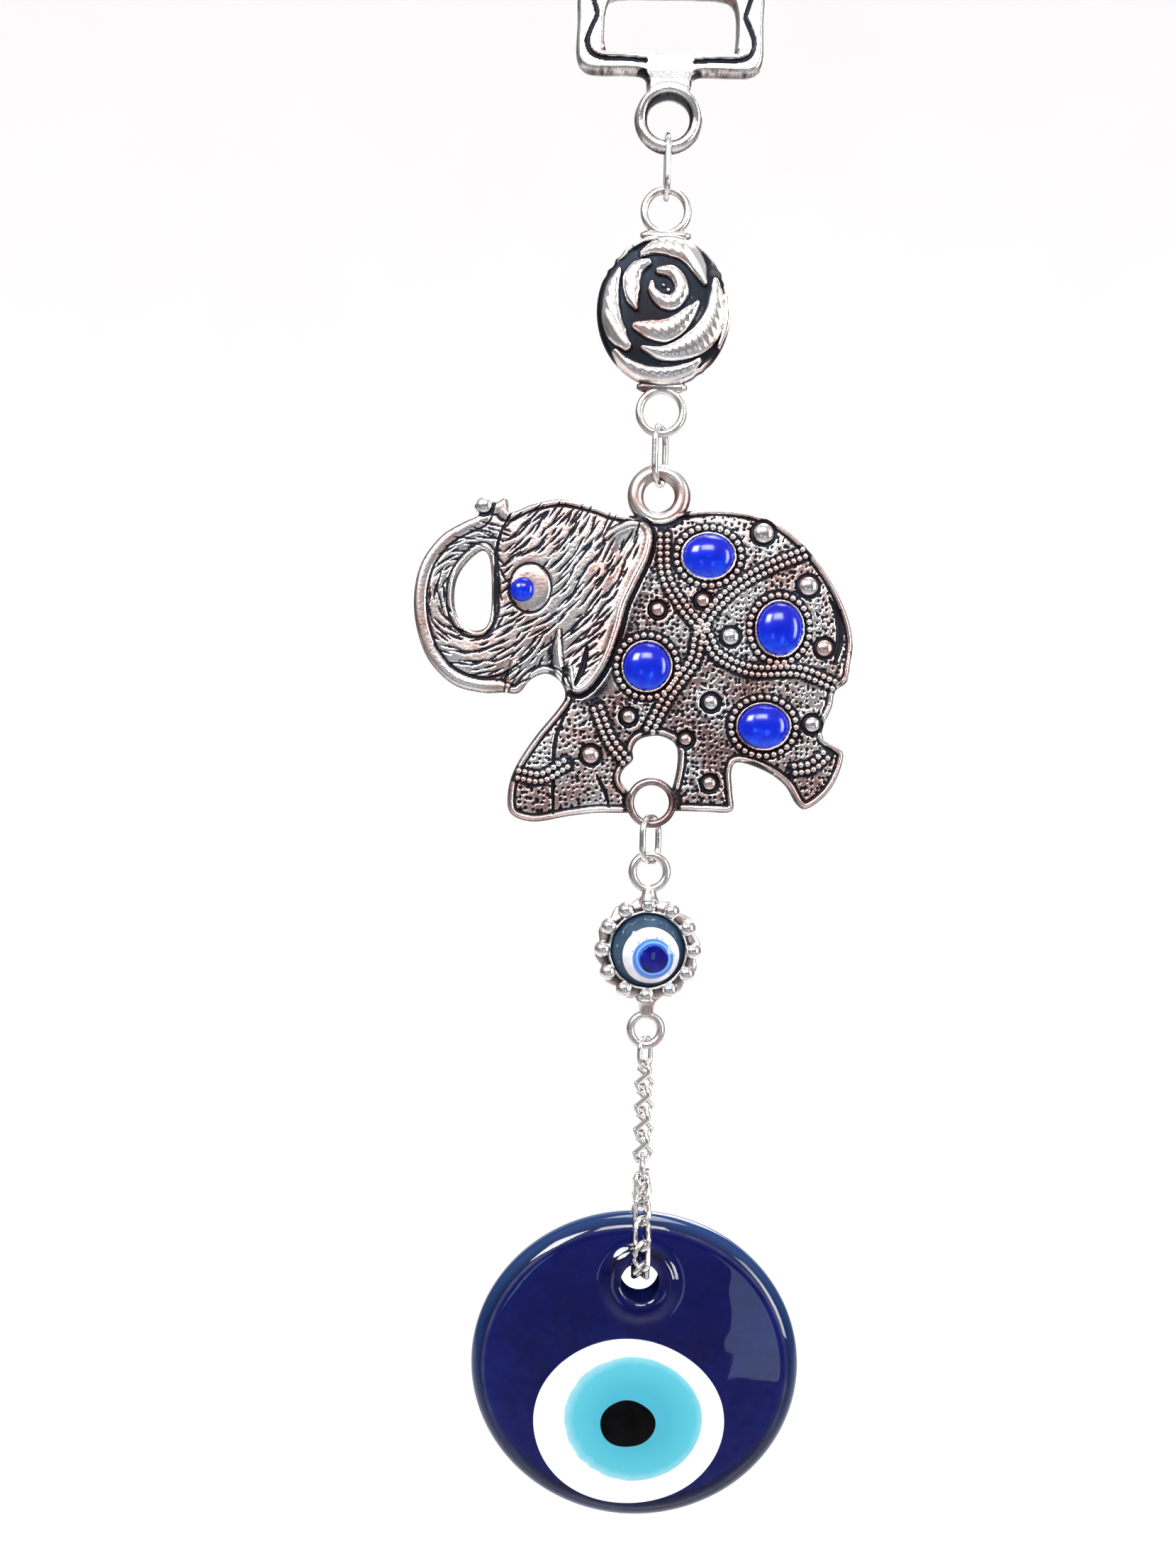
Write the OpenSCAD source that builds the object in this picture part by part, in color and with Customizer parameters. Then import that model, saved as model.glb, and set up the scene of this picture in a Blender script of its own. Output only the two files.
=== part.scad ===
// Evil eye wall ornament. From the top down: a cast strap hanger, a rose connector, an elephant plate with
// blue stones, a beaded eye charm, a curb chain and a poured glass eye held in a closed chain sling.
// +Z is up, the front faces -Y, and the origin is the middle of the hanger slot's upper edge.

/* [Hanger] */
// Inner width of the strap slot
slot_w = 20.2; // [18:0.2:22]
// Inner height of the strap slot
slot_h = 8.3; // [7:0.1:10]
// Radius of the slot's upper corners
slot_corner = 3; // [2:0.5:3.5]
// Height of the slot's top and bottom bars
bar_h = 3.6; // [3:0.1:4.5]
// Width of the slot's side bars
side_w = 4.5; // [3.5:0.1:6]
// Front to back thickness of the hanger
hanger_t = 3.2; // [2.8:0.1:4]
// Radius of the hole in the hanger's eye
eye_hole_r = 3.25; // [3:0.05:3.6]
// Width of the neck between the slot and the eye
neck_w = 7; // [6:0.5:8]

/* [Jump links] */
// Wire diameter of the three large jump links
jump_wire = 1; // [0.9:0.05:1.1]
// Wire length of the first jump link, measured between its end bends' middles
jump_1_len = 9.6; // [9:0.1:11]
// The same length of the second jump link
jump_2_len = 9.15; // [8.8:0.05:10]
// The same length of the third jump link
jump_3_len = 7.25; // [7:0.05:8]
// The same length of the small fourth jump link
jump_4_len = 4.85; // [4.6:0.05:5.5]

/* [Rose] */
// Distance between the middles of the rose's two rings
rose_pitch = 31.1; // [30:0.1:33]
// Width of the rose
rose_w = 20.8; // [18:0.2:22]
// Height of the rose
rose_h = 23.6; // [22:0.2:24]
// Greatest thickness of the rose
rose_t = 6; // [5:0.2:7]

/* [Elephant] */
// Thickness of the elephant's plate
plate_t = 2.4; // [2:0.1:3]
// Distance from the middle of the top loop down to the middle of the bottom ring
elephant_pitch = 47.6; // [47:0.1:48.5]
// Height of a stone above the rim of its cup
stone_rise = 1.3; // [0.8:0.1:1.6]

/* [Eye charm] */
// Diameter of the charm over its beads
charm_d = 16.5; // [16:0.1:17.5]
// Number of beads round the charm
charm_beads = 12; // [10:1:14]
// Distance from the charm's top loop to its bottom loop
charm_pitch = 24.5; // [24:0.1:26]

/* [Chain] */
// Wire diameter of the curb chain
chain_wire = 0.8; // [0.7:0.05:0.85]
// Length that each curb link adds to the chain
chain_pitch = 3.6; // [3.5:0.05:3.8]
// Number of links between the fourth jump link and the sling
chain_count = 4; // [2:1:6]

/* [Glass eye] */
// Width of the glass
glass_w = 50.6; // [48:0.2:54]
// Height of the glass
glass_h = 46.8; // [44:0.2:50]
// Thickness of the glass
glass_t = 7; // [6.4:0.2:7.2]
// Radius of the hole through the glass
glass_hole_r = 3; // [3:0.1:3.4]

/* [Hidden] */
$fn = 48;
gap = 0.12;                             // air between two wires that hang on each other
chain_gap = 0.2;                        // the same in the chain, whose links also twist

// Hanger
eye_wall = 2.05;
eye_round = 1.3;                        // radius that rounds the eye's section
eye_r = eye_hole_r + eye_wall;
neck_h = 1.55;
hanger_w = slot_w + 2 * side_w;
hanger_low = -(slot_h + bar_h);
eye_z = hanger_low - neck_h - eye_r;
corner_r = 3;

// Rings that the jump links hang in, as the middle radius and the radius of the wire
rose_ring = [3.375, 0.625];
rose_ball = rose_w * 1.1;
elephant_loop = [3.65, 1.25];
elephant_ring = [3.3, 0.6];
charm_loop_top = [2.65, 0.65];
charm_loop_low = [2.35, 0.65];

// Heights down the plumb line. Each "hook" is where one wire rests in the one above it.
jump_r = jump_wire / 2;
jump_bend = 2.6;                        // middle radius of a jump link's end bends
jump_4_wire = 0.8;
jump_4_bend = 1.8;
jump_turn = [90, 70, 60, 60];           // turn of each link about the plumb line, 90 being edge on to the front
hook_1 = eye_z - eye_hole_r - eye_wall / 2;
jump_1_top = hook_1 + eye_round + 0.05 + jump_r;
hook_2 = jump_1_top - jump_1_len;
rose_top = hook_2 + jump_r + gap + rose_ring[1] - rose_ring[0];
rose_low = rose_top - rose_pitch;
rose_mid = (rose_top + rose_low) / 2;
hook_3 = rose_low - rose_ring[0];
jump_2_top = hook_3 + rose_ring[1] + gap + jump_r;
hook_4 = jump_2_top - jump_2_len;
elephant_z = hook_4 + jump_r + gap + elephant_loop[1] - elephant_loop[0];
hook_5 = elephant_z - elephant_pitch - elephant_ring[0];
jump_3_top = hook_5 + elephant_ring[1] + gap + jump_r;
hook_6 = jump_3_top - jump_3_len;
charm_top = hook_6 + jump_r + gap + charm_loop_top[1] - charm_loop_top[0];
charm_low = charm_top - charm_pitch;
charm_z = charm_top - 12.1;
hook_7 = charm_low - charm_loop_low[0];
jump_4_top = hook_7 + charm_loop_low[1] + gap + jump_4_wire / 2;
jump_4_low = jump_4_top - jump_4_len;

// Chain: a link's joints lie half way between its own wire and its neighbour's
chain_bend = 1.4;                       // middle radius of a link's end bends
chain_twist = 45;                       // turn of each end bend out of the link's flat
chain_turn = 75;                        // turn of every link of the straight chain about the plumb line
chain_half = (chain_wire + chain_gap) / 2;
link_len = chain_pitch + 2 * chain_half;
chain_z = jump_4_low + jump_4_wire / 2 + chain_gap + chain_wire / 2 - chain_half;

// Sling: a ring, then links that run down the front, through the glass and up the back
ring_wire = 0.8;
ring_r = 2;
ring_joint = ring_r - (ring_wire + chain_wire) / 2 - chain_gap + chain_half;
ring_z = chain_z - chain_count * chain_pitch - ring_joint;
front_lean = [39.2, 36, 12, -18, -62];  // lean of the front links towards the viewer, from the ring down
sling_half = len(front_lean);
sling_count = 2 * sling_half + 1;
sling_lean = [
    for (i = [0 : sling_count - 1])
        i < sling_half ? front_lean[i] : i == sling_half ? -90 : -180 - front_lean[sling_count - 1 - i]
];
function lean_step(a, l) = [-l * sin(a), -l * cos(a)];
function sling_joint(i) =
    i == 0 ? lean_step(sling_lean[0], ring_joint) : sling_joint(i - 1) + lean_step(sling_lean[i - 1], chain_pitch);

// Glass eye: the sling's lowest link lies in the upper half of the hole
sling_rest = 1.3;
hole_z = ring_z + sling_joint(sling_half)[1] - sling_rest;
hole_flare = 2;
glass_z = hole_z - 13.3;
glass_x = -0.5;
collar_r = 5;
collar_h = 0.6;
white_axes = [14.6, 12.7];
iris_axes = [10.8, 9.7];
pupil_axes = [4.3, 3.7];
white_at = [-1.3, -8.1];
iris_at = [-0.8, -7.6];
pupil_at = [-1.4, -8.3];
layer_depth = [2.4, 1.6, 0.9];

// Elephant outline, clockwise from the trunk's tip, from the middle of the top loop
trunk_tip = [[-27.9, -3.6], [-28.6, -2.2], [-27, -1.2], [-25.2, -1.6], [-23.6, -0.8], [-22.8, -3]];
back_line = [
    [-19.6, -1.8], [-15, -0.9], [-10, -1.8], [-6, -3], [0, -3], [6, -2], [10, -1.8], [14.8, -2.4], [19.6, -4.5],
    [24, -8.5], [27.4, -13.2], [29.7, -18], [30.6, -22.2], [30.2, -26], [29.8, -28.2], [28.1, -29.6]
];
hind_foot = [
    [27.6, -32.2], [26.5, -34.8], [26.4, -36.8], [29.2, -38.6], [29.5, -40.4], [28.4, -43.7], [26.6, -46.2],
    [24, -48], [22.4, -47.2], [20.6, -44.4], [17.6, -42.3], [13.4, -41]
];
feet = [
    [12.3, -42.4], [12.5, -45.5], [12.5, -48.6], [8.5, -48.8], [4.5, -48.8], [0, -49], [-4.1, -49.3], [-8.5, -49.4],
    [-12.8, -50], [-18.2, -51], [-21.8, -49.8], [-22.3, -46.4], [-21.2, -42.5], [-18.3, -37.8], [-15, -33.6]
];
chin_and_trunk = [
    [-13.8, -31.4], [-14.6, -29.2], [-16.8, -28], [-19.2, -29], [-21, -31.1], [-23.4, -31.1], [-26.7, -31.2],
    [-31.3, -30], [-35.2, -26.2], [-37.2, -21], [-37.6, -15.8], [-36.5, -11], [-33.6, -7], [-30.2, -4.8]
];
elephant_outline = concat(trunk_tip, back_line, hind_foot, feet, chin_and_trunk);
trunk_gap = [
    [-27.2, -9.2], [-26, -10.6], [-25.6, -15], [-25.7, -19.2], [-26.6, -21.2], [-28.6, -21.5], [-30.4, -20.2],
    [-31.3, -17.4], [-31.1, -14], [-29.6, -11.2]
];
leg_gap = [
    [-2, -37.8], [0.9, -37.2], [3.3, -38.3], [3.9, -40.4], [3.5, -43.8], [2.6, -46], [0, -46.6], [-2.6, -46.4],
    [-4.2, -45.2], [-4.9, -44], [-4.4, -42.5], [-3, -41], [-3.1, -39.4]
];
ear_outline = [
    [-9.9, -7.6], [-7.2, -5.2], [-4.3, -3.9], [-2, -4.3], [-0.9, -6.4], [-1.4, -9.8], [-3.1, -13.6], [-4.7, -17.4],
    [-5.6, -21.2], [-7.2, -26], [-9.4, -29.6], [-11.6, -31.2], [-13.4, -30.4], [-13.8, -27.2], [-13, -24],
    [-11, -17], [-10.5, -12]
];

// Stones: place from the top loop's middle, then half width and half height
back_stone_at = [7.8, -9.4, 3.9, 3.4];
rump_stone_at = [19, -20.3, 3.5, 4.1];
shoulder_stone_at = [-1.3, -26.6, 3.6, 3.7];
thigh_stone_at = [16.9, -35.4, 3.9, 3.4];
eye_stone_at = [-20.7, -15.2, 1.75, 1.75];
cup_wall = 0.7;
cup_h = 1;
cup_floor = 0.4;                        // depth of a cup's floor under the plate's face
stone_fit = 0.04;
stone_shoulder = 0.6;                   // straight side of a stone above its cup's floor

// Eye charm
bead_r = 1.25;
bead_ring = charm_d / 2 - bead_r;
charm_t = 1.6;
cabochon_r = 5.7;
cabochon_rise = 2.8;
cabochon_ball = (pow(cabochon_r, 2) + pow(cabochon_rise, 2)) / (2 * cabochon_rise);
charm_white_r = 4.4;
charm_iris_r = 3.2;
charm_pupil_r = 2.2;
charm_white_at = [0.45, -0.75];
charm_iris_at = [0.75, -1.2];
charm_pupil_at = [0.9, -1.25];
charm_depth = [2.5, 2, 1.5];             // depth of the white, the iris and the pupil under the dome's top

// A closed outline drawn smoothly through its corner points
function spline_point(p, i, t) =
    let (n = len(p), a = p[(i + n - 1) % n], b = p[i], c = p[(i + 1) % n], d = p[(i + 2) % n])
    0.5 * (2 * b + t * (c - a) + t * t * (2 * a - 5 * b + 4 * c - d) + t * t * t * (3 * b - a - 3 * c + d));
function smooth(p, steps = 3) = [for (i = [0 : len(p) - 1]) for (k = [0 : steps - 1]) spline_point(p, i, k / steps)];

function oval(a, b, n = 48) = [for (i = [0 : n - 1]) [a * cos(360 * i / n), b * sin(360 * i / n)]];

// A flat shape drawn in X and Z, reaching from y_front back to y_back
module upright(y_front, y_back)
    translate([0, y_back, 0]) rotate([90, 0, 0]) linear_extrude(y_back - y_front) children();

module across(r, y_front, y_back)
    translate([0, y_back, 0]) rotate([90, 0, 0]) cylinder(r = r, h = y_back - y_front);

// A wire ring facing the front
module wire_ring(ring)
    rotate([90, 0, 0]) rotate_extrude() translate([ring[0], 0]) circle(r = ring[1]);

module wire_bend(r, wire)
    rotate([90, 0, 0]) rotate_extrude(angle = 180) translate([r, 0]) circle(d = wire);

// An oval link that hangs from its top wire, whose middle is at the origin
module jump_link(length, bend, wire, turn) {
    side = length - 2 * bend;
    rotate([0, 0, turn]) {
        translate([0, 0, -bend]) wire_bend(bend, wire);
        translate([0, 0, bend - length]) mirror([0, 0, 1]) wire_bend(bend, wire);
        for (s = [-1, 1]) translate([s * bend, 0, bend - length]) cylinder(d = wire, h = side);
    }
}

// A curb link that hangs from its upper joint at the origin. Its two end bends are turned apart from each other,
// and turn sets the whole link round about its length.
module curb_link(turn) rotate([0, 0, turn]) {
    across_x = chain_bend * cos(chain_twist);
    across_y = chain_bend * sin(chain_twist);
    drop = link_len - 2 * chain_bend;
    leg = sqrt(pow(drop, 2) + pow(2 * across_y, 2));
    leg_tilt = atan2(2 * across_y, drop);
    knuckle = chain_wire + 0.04;
    translate([0, 0, chain_half - chain_bend]) {
        rotate([0, 0, chain_twist]) wire_bend(chain_bend, chain_wire);
        translate([0, 0, -drop]) mirror([0, 0, 1]) rotate([0, 0, -chain_twist]) wire_bend(chain_bend, chain_wire);
        for (s = [-1, 1]) {
            translate([s * across_x, s * across_y, 0]) sphere(d = knuckle);
            translate([s * across_x, -s * across_y, -drop]) sphere(d = knuckle);
            translate([s * across_x, s * across_y, 0]) rotate([180 - s * leg_tilt, 0, 0])
                cylinder(d = chain_wire, h = leg);
        }
    }
}

module hanger_frame() color("silver") {
    difference() {
        upright(-hanger_t / 2, hanger_t / 2) {
            translate([-hanger_w / 2, hanger_low + corner_r]) square([hanger_w, bar_h - hanger_low - 2 * corner_r]);
            translate([corner_r - hanger_w / 2, hanger_low]) square([hanger_w - 2 * corner_r, bar_h - hanger_low]);
            for (s = [-1, 1], z = [hanger_low + corner_r, bar_h - corner_r])
                translate([s * (hanger_w / 2 - corner_r), z]) circle(r = corner_r);
        }
        upright(-hanger_t, hanger_t) {
            translate([-slot_w / 2, -slot_h]) square([slot_w, slot_h - slot_corner]);
            translate([slot_corner - slot_w / 2, -slot_h]) square([slot_w - 2 * slot_corner, slot_h]);
            for (s = [-1, 1]) translate([s * (slot_w / 2 - slot_corner), -slot_corner]) circle(r = slot_corner);
        }
    }
    difference() {
        upright(-1.1, 1.1) translate([-neck_w / 2, eye_z + 1]) square([neck_w, hanger_low + 0.5 - eye_z - 1]);
        translate([0, 0, eye_z]) across(eye_hole_r + 0.4, -hanger_t, hanger_t);
    }
    translate([0, 0, eye_z]) hanger_eye();
}

// The eye's ring is flat inside and outside, with a round front and back
module hanger_eye()
    intersection() {
        wire_ring([eye_hole_r + eye_wall / 2, eye_round]);
        difference() {
            across(eye_r, -eye_round, eye_round);
            across(eye_hole_r, -hanger_t, hanger_t);
        }
    }

module rose_connector() color("silver") {
    translate([0, 0, rose_top]) wire_ring(rose_ring);
    translate([0, 0, rose_low]) wire_ring(rose_ring);
    for (s = [-1, 1])
        translate([0, 0, rose_mid + s * (rose_pitch / 2 - rose_ring[0] - 0.4)])
            cube([rose_ring[0] * 2, 2, 1.4], center = true);
    translate([0, 0, rose_mid])
        intersection() {
            upright(-rose_t / 2, rose_t / 2) polygon(oval(rose_w / 2, rose_h / 2));
            rose_face(-1);
            rose_face(1);
        }
}

// The ball that curves the rose's front or back
module rose_face(side)
    translate([0, side * (rose_t / 2 - rose_ball), 0]) sphere(r = rose_ball, $fn = 160);

module stone_cup(at, depth = cup_h)
    translate([at[0], 0, at[1]])
        upright(-plate_t / 2 - depth, 0) polygon(oval(at[2] + cup_wall, at[3] + cup_wall, 36));

module stone_pocket(at)
    translate([at[0], 0, at[1]])
        upright(-plate_t - cup_h, cup_floor - plate_t / 2)
            polygon(oval(at[2] + stone_fit, at[3] + stone_fit, 36));

module elephant_plate() color("silver") {
    translate([0, 0, elephant_z]) {
        difference() {
            union() {
                upright(-plate_t / 2, plate_t / 2) polygon(smooth(elephant_outline));
                upright(-plate_t / 2 - 0.8, 0) polygon(smooth(ear_outline));
                for (at = [back_stone_at, rump_stone_at, shoulder_stone_at, thigh_stone_at]) stone_cup(at);
                stone_cup(eye_stone_at, 0.4);
            }
            upright(-plate_t, plate_t) polygon(smooth(trunk_gap));
            upright(-plate_t, plate_t) polygon(smooth(leg_gap));
            for (at = [back_stone_at, rump_stone_at, shoulder_stone_at, thigh_stone_at, eye_stone_at])
                stone_pocket(at);
            across(elephant_loop[0], -2 * plate_t, 2 * plate_t);
            translate([0, 0, -elephant_pitch]) across(elephant_ring[0], -2 * plate_t, 2 * plate_t);
        }
        wire_ring(elephant_loop);
        translate([0, 0, -elephant_pitch]) wire_ring(elephant_ring);
    }
}

// A cut glass stone: straight sides in its cup and a domed face
module stone(at) color("royalblue") {
    rise = cup_h + stone_rise;
    r = max(at[2], at[3]);
    ball = (pow(r, 2) + pow(rise - stone_shoulder, 2)) / (2 * (rise - stone_shoulder));
    translate([at[0], 0, elephant_z + at[1]])
        intersection() {
            upright(-plate_t / 2 - rise, cup_floor - plate_t / 2) polygon(oval(at[2], at[3], 36));
            translate([0, ball - plate_t / 2 - rise, 0]) sphere(r = ball);
        }
}

module eye_stone() color("royalblue")
    translate([eye_stone_at[0], 0, elephant_z + eye_stone_at[1]])
        intersection() {
            upright(-plate_t / 2 - 1.2, cup_floor - plate_t / 2)
                polygon(oval(eye_stone_at[2], eye_stone_at[3], 36));
            translate([0, 2 - plate_t / 2 - 1.2, 0]) sphere(r = 2);
        }

module charm_bezel() color("silver") {
    translate([0, 0, charm_top]) wire_ring(charm_loop_top);
    translate([0, 0, charm_low]) wire_ring(charm_loop_low);
    translate([0, 0, charm_z])
        difference() {
            union() {
                across(bead_ring, -charm_t / 2, charm_t / 2);
                for (i = [0 : charm_beads - 1])
                    rotate([0, 360 * i / charm_beads, 0]) translate([0, 0, bead_ring]) sphere(r = bead_r);
            }
            across(cabochon_r + stone_fit, -charm_t, 0);
        }
    charm_neck(charm_top - charm_loop_top[0]);
    charm_neck(charm_low + charm_loop_low[0]);
}

// The short bar between the beads and the wire of a loop
module charm_neck(loop_wire_z) {
    bead_z = charm_z + sign(loop_wire_z - charm_z) * bead_ring;
    translate([0, 0, (bead_z + loop_wire_z) / 2])
        cube([2.4, charm_t, abs(loop_wire_z - bead_z)], center = true);
}

// The ball whose front makes the charm's domed face
module cabochon_face()
    translate([0, cabochon_ball - cabochon_rise, charm_z]) sphere(r = cabochon_ball, $fn = 160);

// The space above a layer's floor, open to the front
module cabochon_pocket(at, depth, r)
    translate([at[0], -cabochon_rise, charm_z + at[1]]) across(r, -1, depth);

module charm_dome() color("darkslategray")
    difference() {
        intersection() {
            translate([0, 0, charm_z]) across(cabochon_r, -2 * cabochon_rise, 0);
            cabochon_face();
        }
        cabochon_pocket(charm_white_at, charm_depth[0], charm_white_r);
    }

module charm_layer(at, depth, r)
    intersection() {
        cabochon_pocket(at, depth, r);
        cabochon_face();
    }

module charm_white() color("white")
    difference() {
        charm_layer(charm_white_at, charm_depth[0], charm_white_r);
        cabochon_pocket(charm_iris_at, charm_depth[1], charm_iris_r);
    }

module charm_iris() color("dodgerblue")
    difference() {
        charm_layer(charm_iris_at, charm_depth[1], charm_iris_r);
        cabochon_pocket(charm_pupil_at, charm_depth[2], charm_pupil_r);
    }

module charm_pupil() color("midnightblue") charm_layer(charm_pupil_at, charm_depth[2], charm_pupil_r);

module chain_link(i) color("gainsboro")
    translate([0, 0, chain_z - (i - 1) * chain_pitch]) curb_link(chain_turn);

module sling_ring() color("gainsboro")
    translate([0, 0, ring_z]) rotate([0, 0, 90]) wire_ring([ring_r, ring_wire / 2]);

module sling_link(i) color("gainsboro") {
    at = sling_joint(i - 1);
    translate([0, at[0], ring_z + at[1]]) rotate([-sling_lean[i - 1], 0, 0]) curb_link(0);
}

// The glass body with a rounded rim, before the eye is let into it
module glass_body()
    translate([glass_x, 0, glass_z])
        hull()
            for (a = [-60, -35, 0, 35, 60])
                translate([0, glass_t / 2 * sin(a) / sin(60), 0])
                    upright(-0.05, 0.05)
                        polygon(oval(glass_w / 2 - 3 + 3 * cos(a), glass_h / 2 - 3 + 3 * cos(a), 64));

module glass_oval(at, axes, depth)
    translate([at[0], 0, hole_z - 13.3 + at[1]])
        upright(-glass_t, depth - glass_t / 2) polygon(oval(axes[0], axes[1], 64));

module glass_disc() color("navy")
    difference() {
        union() {
            glass_body();
            translate([0, 0, hole_z]) across(collar_r, -glass_t / 2 - collar_h, 0);
        }
        translate([0, 0, hole_z]) {
            across(glass_hole_r, -2 * glass_t, 2 * glass_t);
            for (s = [0, 180])
                rotate([0, 0, s]) translate([0, -glass_t / 2 - collar_h, 0]) rotate([-90, 0, 0])
                    cylinder(r1 = glass_hole_r + hole_flare, r2 = glass_hole_r, h = hole_flare + collar_h);
        }
        glass_oval(white_at, white_axes, layer_depth[0]);
    }

module glass_layer(at, axes, depth, next_at, next_axes, next_depth)
    difference() {
        intersection() {
            glass_body();
            glass_oval(at, axes, depth);
        }
        glass_oval(next_at, next_axes, next_depth);
    }

module glass_white() color("white")
    glass_layer(white_at, white_axes, layer_depth[0], iris_at, iris_axes, layer_depth[1]);

module glass_iris() color("skyblue")
    glass_layer(iris_at, iris_axes, layer_depth[1], pupil_at, pupil_axes, layer_depth[2]);

module glass_pupil() color("black")
    intersection() {
        glass_body();
        glass_oval(pupil_at, pupil_axes, layer_depth[2]);
    }

module jump_link_1() color("gainsboro")
    translate([0, 0, jump_1_top]) jump_link(jump_1_len, jump_bend, jump_wire, jump_turn[0]);

module jump_link_2() color("gainsboro")
    translate([0, 0, jump_2_top]) jump_link(jump_2_len, jump_bend, jump_wire, jump_turn[1]);

module jump_link_3() color("gainsboro")
    translate([0, 0, jump_3_top]) jump_link(jump_3_len, jump_bend, jump_wire, jump_turn[2]);

module jump_link_4() color("gainsboro")
    translate([0, 0, jump_4_top]) jump_link(jump_4_len, jump_4_bend, jump_4_wire, jump_turn[3]);

hanger_frame();
jump_link_1();
rose_connector();
jump_link_2();
elephant_plate();
eye_stone();
stone(back_stone_at);  // back_stone
stone(rump_stone_at);  // rump_stone
stone(shoulder_stone_at);  // shoulder_stone
stone(thigh_stone_at);  // thigh_stone
jump_link_3();
charm_bezel();
charm_dome();
charm_white();
charm_iris();
charm_pupil();
jump_link_4();
for (i = [1 : chain_count]) chain_link(i);
sling_ring();
for (i = [1 : sling_count]) sling_link(i);
glass_disc();
glass_white();
glass_iris();
glass_pupil();
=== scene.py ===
"""Looks of the evil eye wall ornament: cast antique silver, wire links, glass stones and a poured glass eye.

Shapes are worked out in millimetres in the CAD frame (+Z up, the front faces -Y) and turned to metres as each
piece is made.
"""

import math

import bpy
import numpy as np
from mathutils import Matrix, Vector


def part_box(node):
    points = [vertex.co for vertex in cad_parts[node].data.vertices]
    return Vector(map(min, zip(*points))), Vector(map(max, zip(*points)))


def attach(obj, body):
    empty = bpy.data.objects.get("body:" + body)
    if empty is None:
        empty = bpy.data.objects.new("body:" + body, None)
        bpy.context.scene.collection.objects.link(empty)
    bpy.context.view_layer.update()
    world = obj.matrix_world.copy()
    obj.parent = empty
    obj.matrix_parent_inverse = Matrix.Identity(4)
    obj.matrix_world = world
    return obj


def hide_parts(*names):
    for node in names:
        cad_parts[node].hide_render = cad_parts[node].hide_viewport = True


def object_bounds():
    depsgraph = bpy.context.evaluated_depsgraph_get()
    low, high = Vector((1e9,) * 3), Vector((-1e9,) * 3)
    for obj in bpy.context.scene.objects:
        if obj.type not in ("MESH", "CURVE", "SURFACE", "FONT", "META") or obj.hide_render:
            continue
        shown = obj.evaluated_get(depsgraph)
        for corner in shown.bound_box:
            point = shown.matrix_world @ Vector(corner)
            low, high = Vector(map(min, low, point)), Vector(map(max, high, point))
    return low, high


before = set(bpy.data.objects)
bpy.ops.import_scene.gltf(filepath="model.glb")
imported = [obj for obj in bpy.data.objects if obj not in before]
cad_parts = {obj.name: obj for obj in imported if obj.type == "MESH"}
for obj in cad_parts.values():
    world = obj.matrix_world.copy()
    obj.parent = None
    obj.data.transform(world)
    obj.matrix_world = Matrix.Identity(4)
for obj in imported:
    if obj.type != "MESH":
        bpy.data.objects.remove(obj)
cad_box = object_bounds()
CENTRE = (cad_box[0] + cad_box[1]) / 2

MM = 0.001
rng = np.random.default_rng(7)

# ---------------------------------------------------------------- meshes


def placed(name, data):
    """A new object in the scene."""
    obj = bpy.data.objects.new(name, data)
    bpy.context.scene.collection.objects.link(obj)
    return obj


class Shape:
    """Points and faces in millimetres, with a value of tarnish and painted shade at each point: 0 is bright
    and 1 is black.
    """

    def __init__(self):
        self.points = []
        self.faces = []
        self.tarnish = []
        self.count = 0

    def add(self, points, *faces, tarnish=0.0):
        """Adds points and one or more arrays of faces, each with the same number of corners."""
        points = np.asarray(points, float)
        self.points.append(points)
        self.tarnish.append(np.broadcast_to(np.asarray(tarnish, float), len(points)))
        self.faces.extend(np.asarray(f, int) + self.count for f in faces if len(f))
        self.count += len(points)

    def piece(self, name, material, body, slot, *nodes, offset=(0, 0, 0)):
        """Makes the object, lets it ride on its body and hides the CAD nodes that it stands for."""
        points = (np.concatenate(self.points) + np.asarray(offset)) * MM
        corners = np.concatenate([f.ravel() for f in self.faces])
        sizes = np.concatenate([np.full(len(f), f.shape[1]) for f in self.faces])
        mesh = bpy.data.meshes.new(name)
        mesh.vertices.add(len(points))
        mesh.vertices.foreach_set("co", points.astype(np.float32).ravel())
        mesh.loops.add(len(corners))
        mesh.loops.foreach_set("vertex_index", corners.astype(np.int32))
        mesh.polygons.add(len(sizes))
        mesh.polygons.foreach_set("loop_start", (np.cumsum(sizes) - sizes).astype(np.int32))
        mesh.polygons.foreach_set("use_smooth", np.ones(len(sizes), bool))
        mesh.update(calc_edges=True)
        mesh.validate()
        layer = mesh.attributes.new("tarnish", "FLOAT", "POINT")
        layer.data.foreach_set("value", np.concatenate(self.tarnish).astype(np.float32))
        mesh.materials.append(material)
        obj = placed(name, mesh)
        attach(obj, body)
        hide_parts(*nodes)


def strip_faces(rows, columns, closed_rows=False, flip=False):
    """Quads over a grid of points stored row after row, with each row closed on itself."""
    r, c = np.meshgrid(np.arange(rows if closed_rows else rows - 1), np.arange(columns), indexing="ij")
    r, c = r.ravel(), c.ravel()
    r_next, c_next = (r + 1) % rows, (c + 1) % columns
    corners = [(r, c), (r, c_next), (r_next, c_next), (r_next, c)]
    quads = np.stack([row * columns + column for row, column in corners], 1)
    return quads[:, ::-1] if flip else quads


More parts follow.
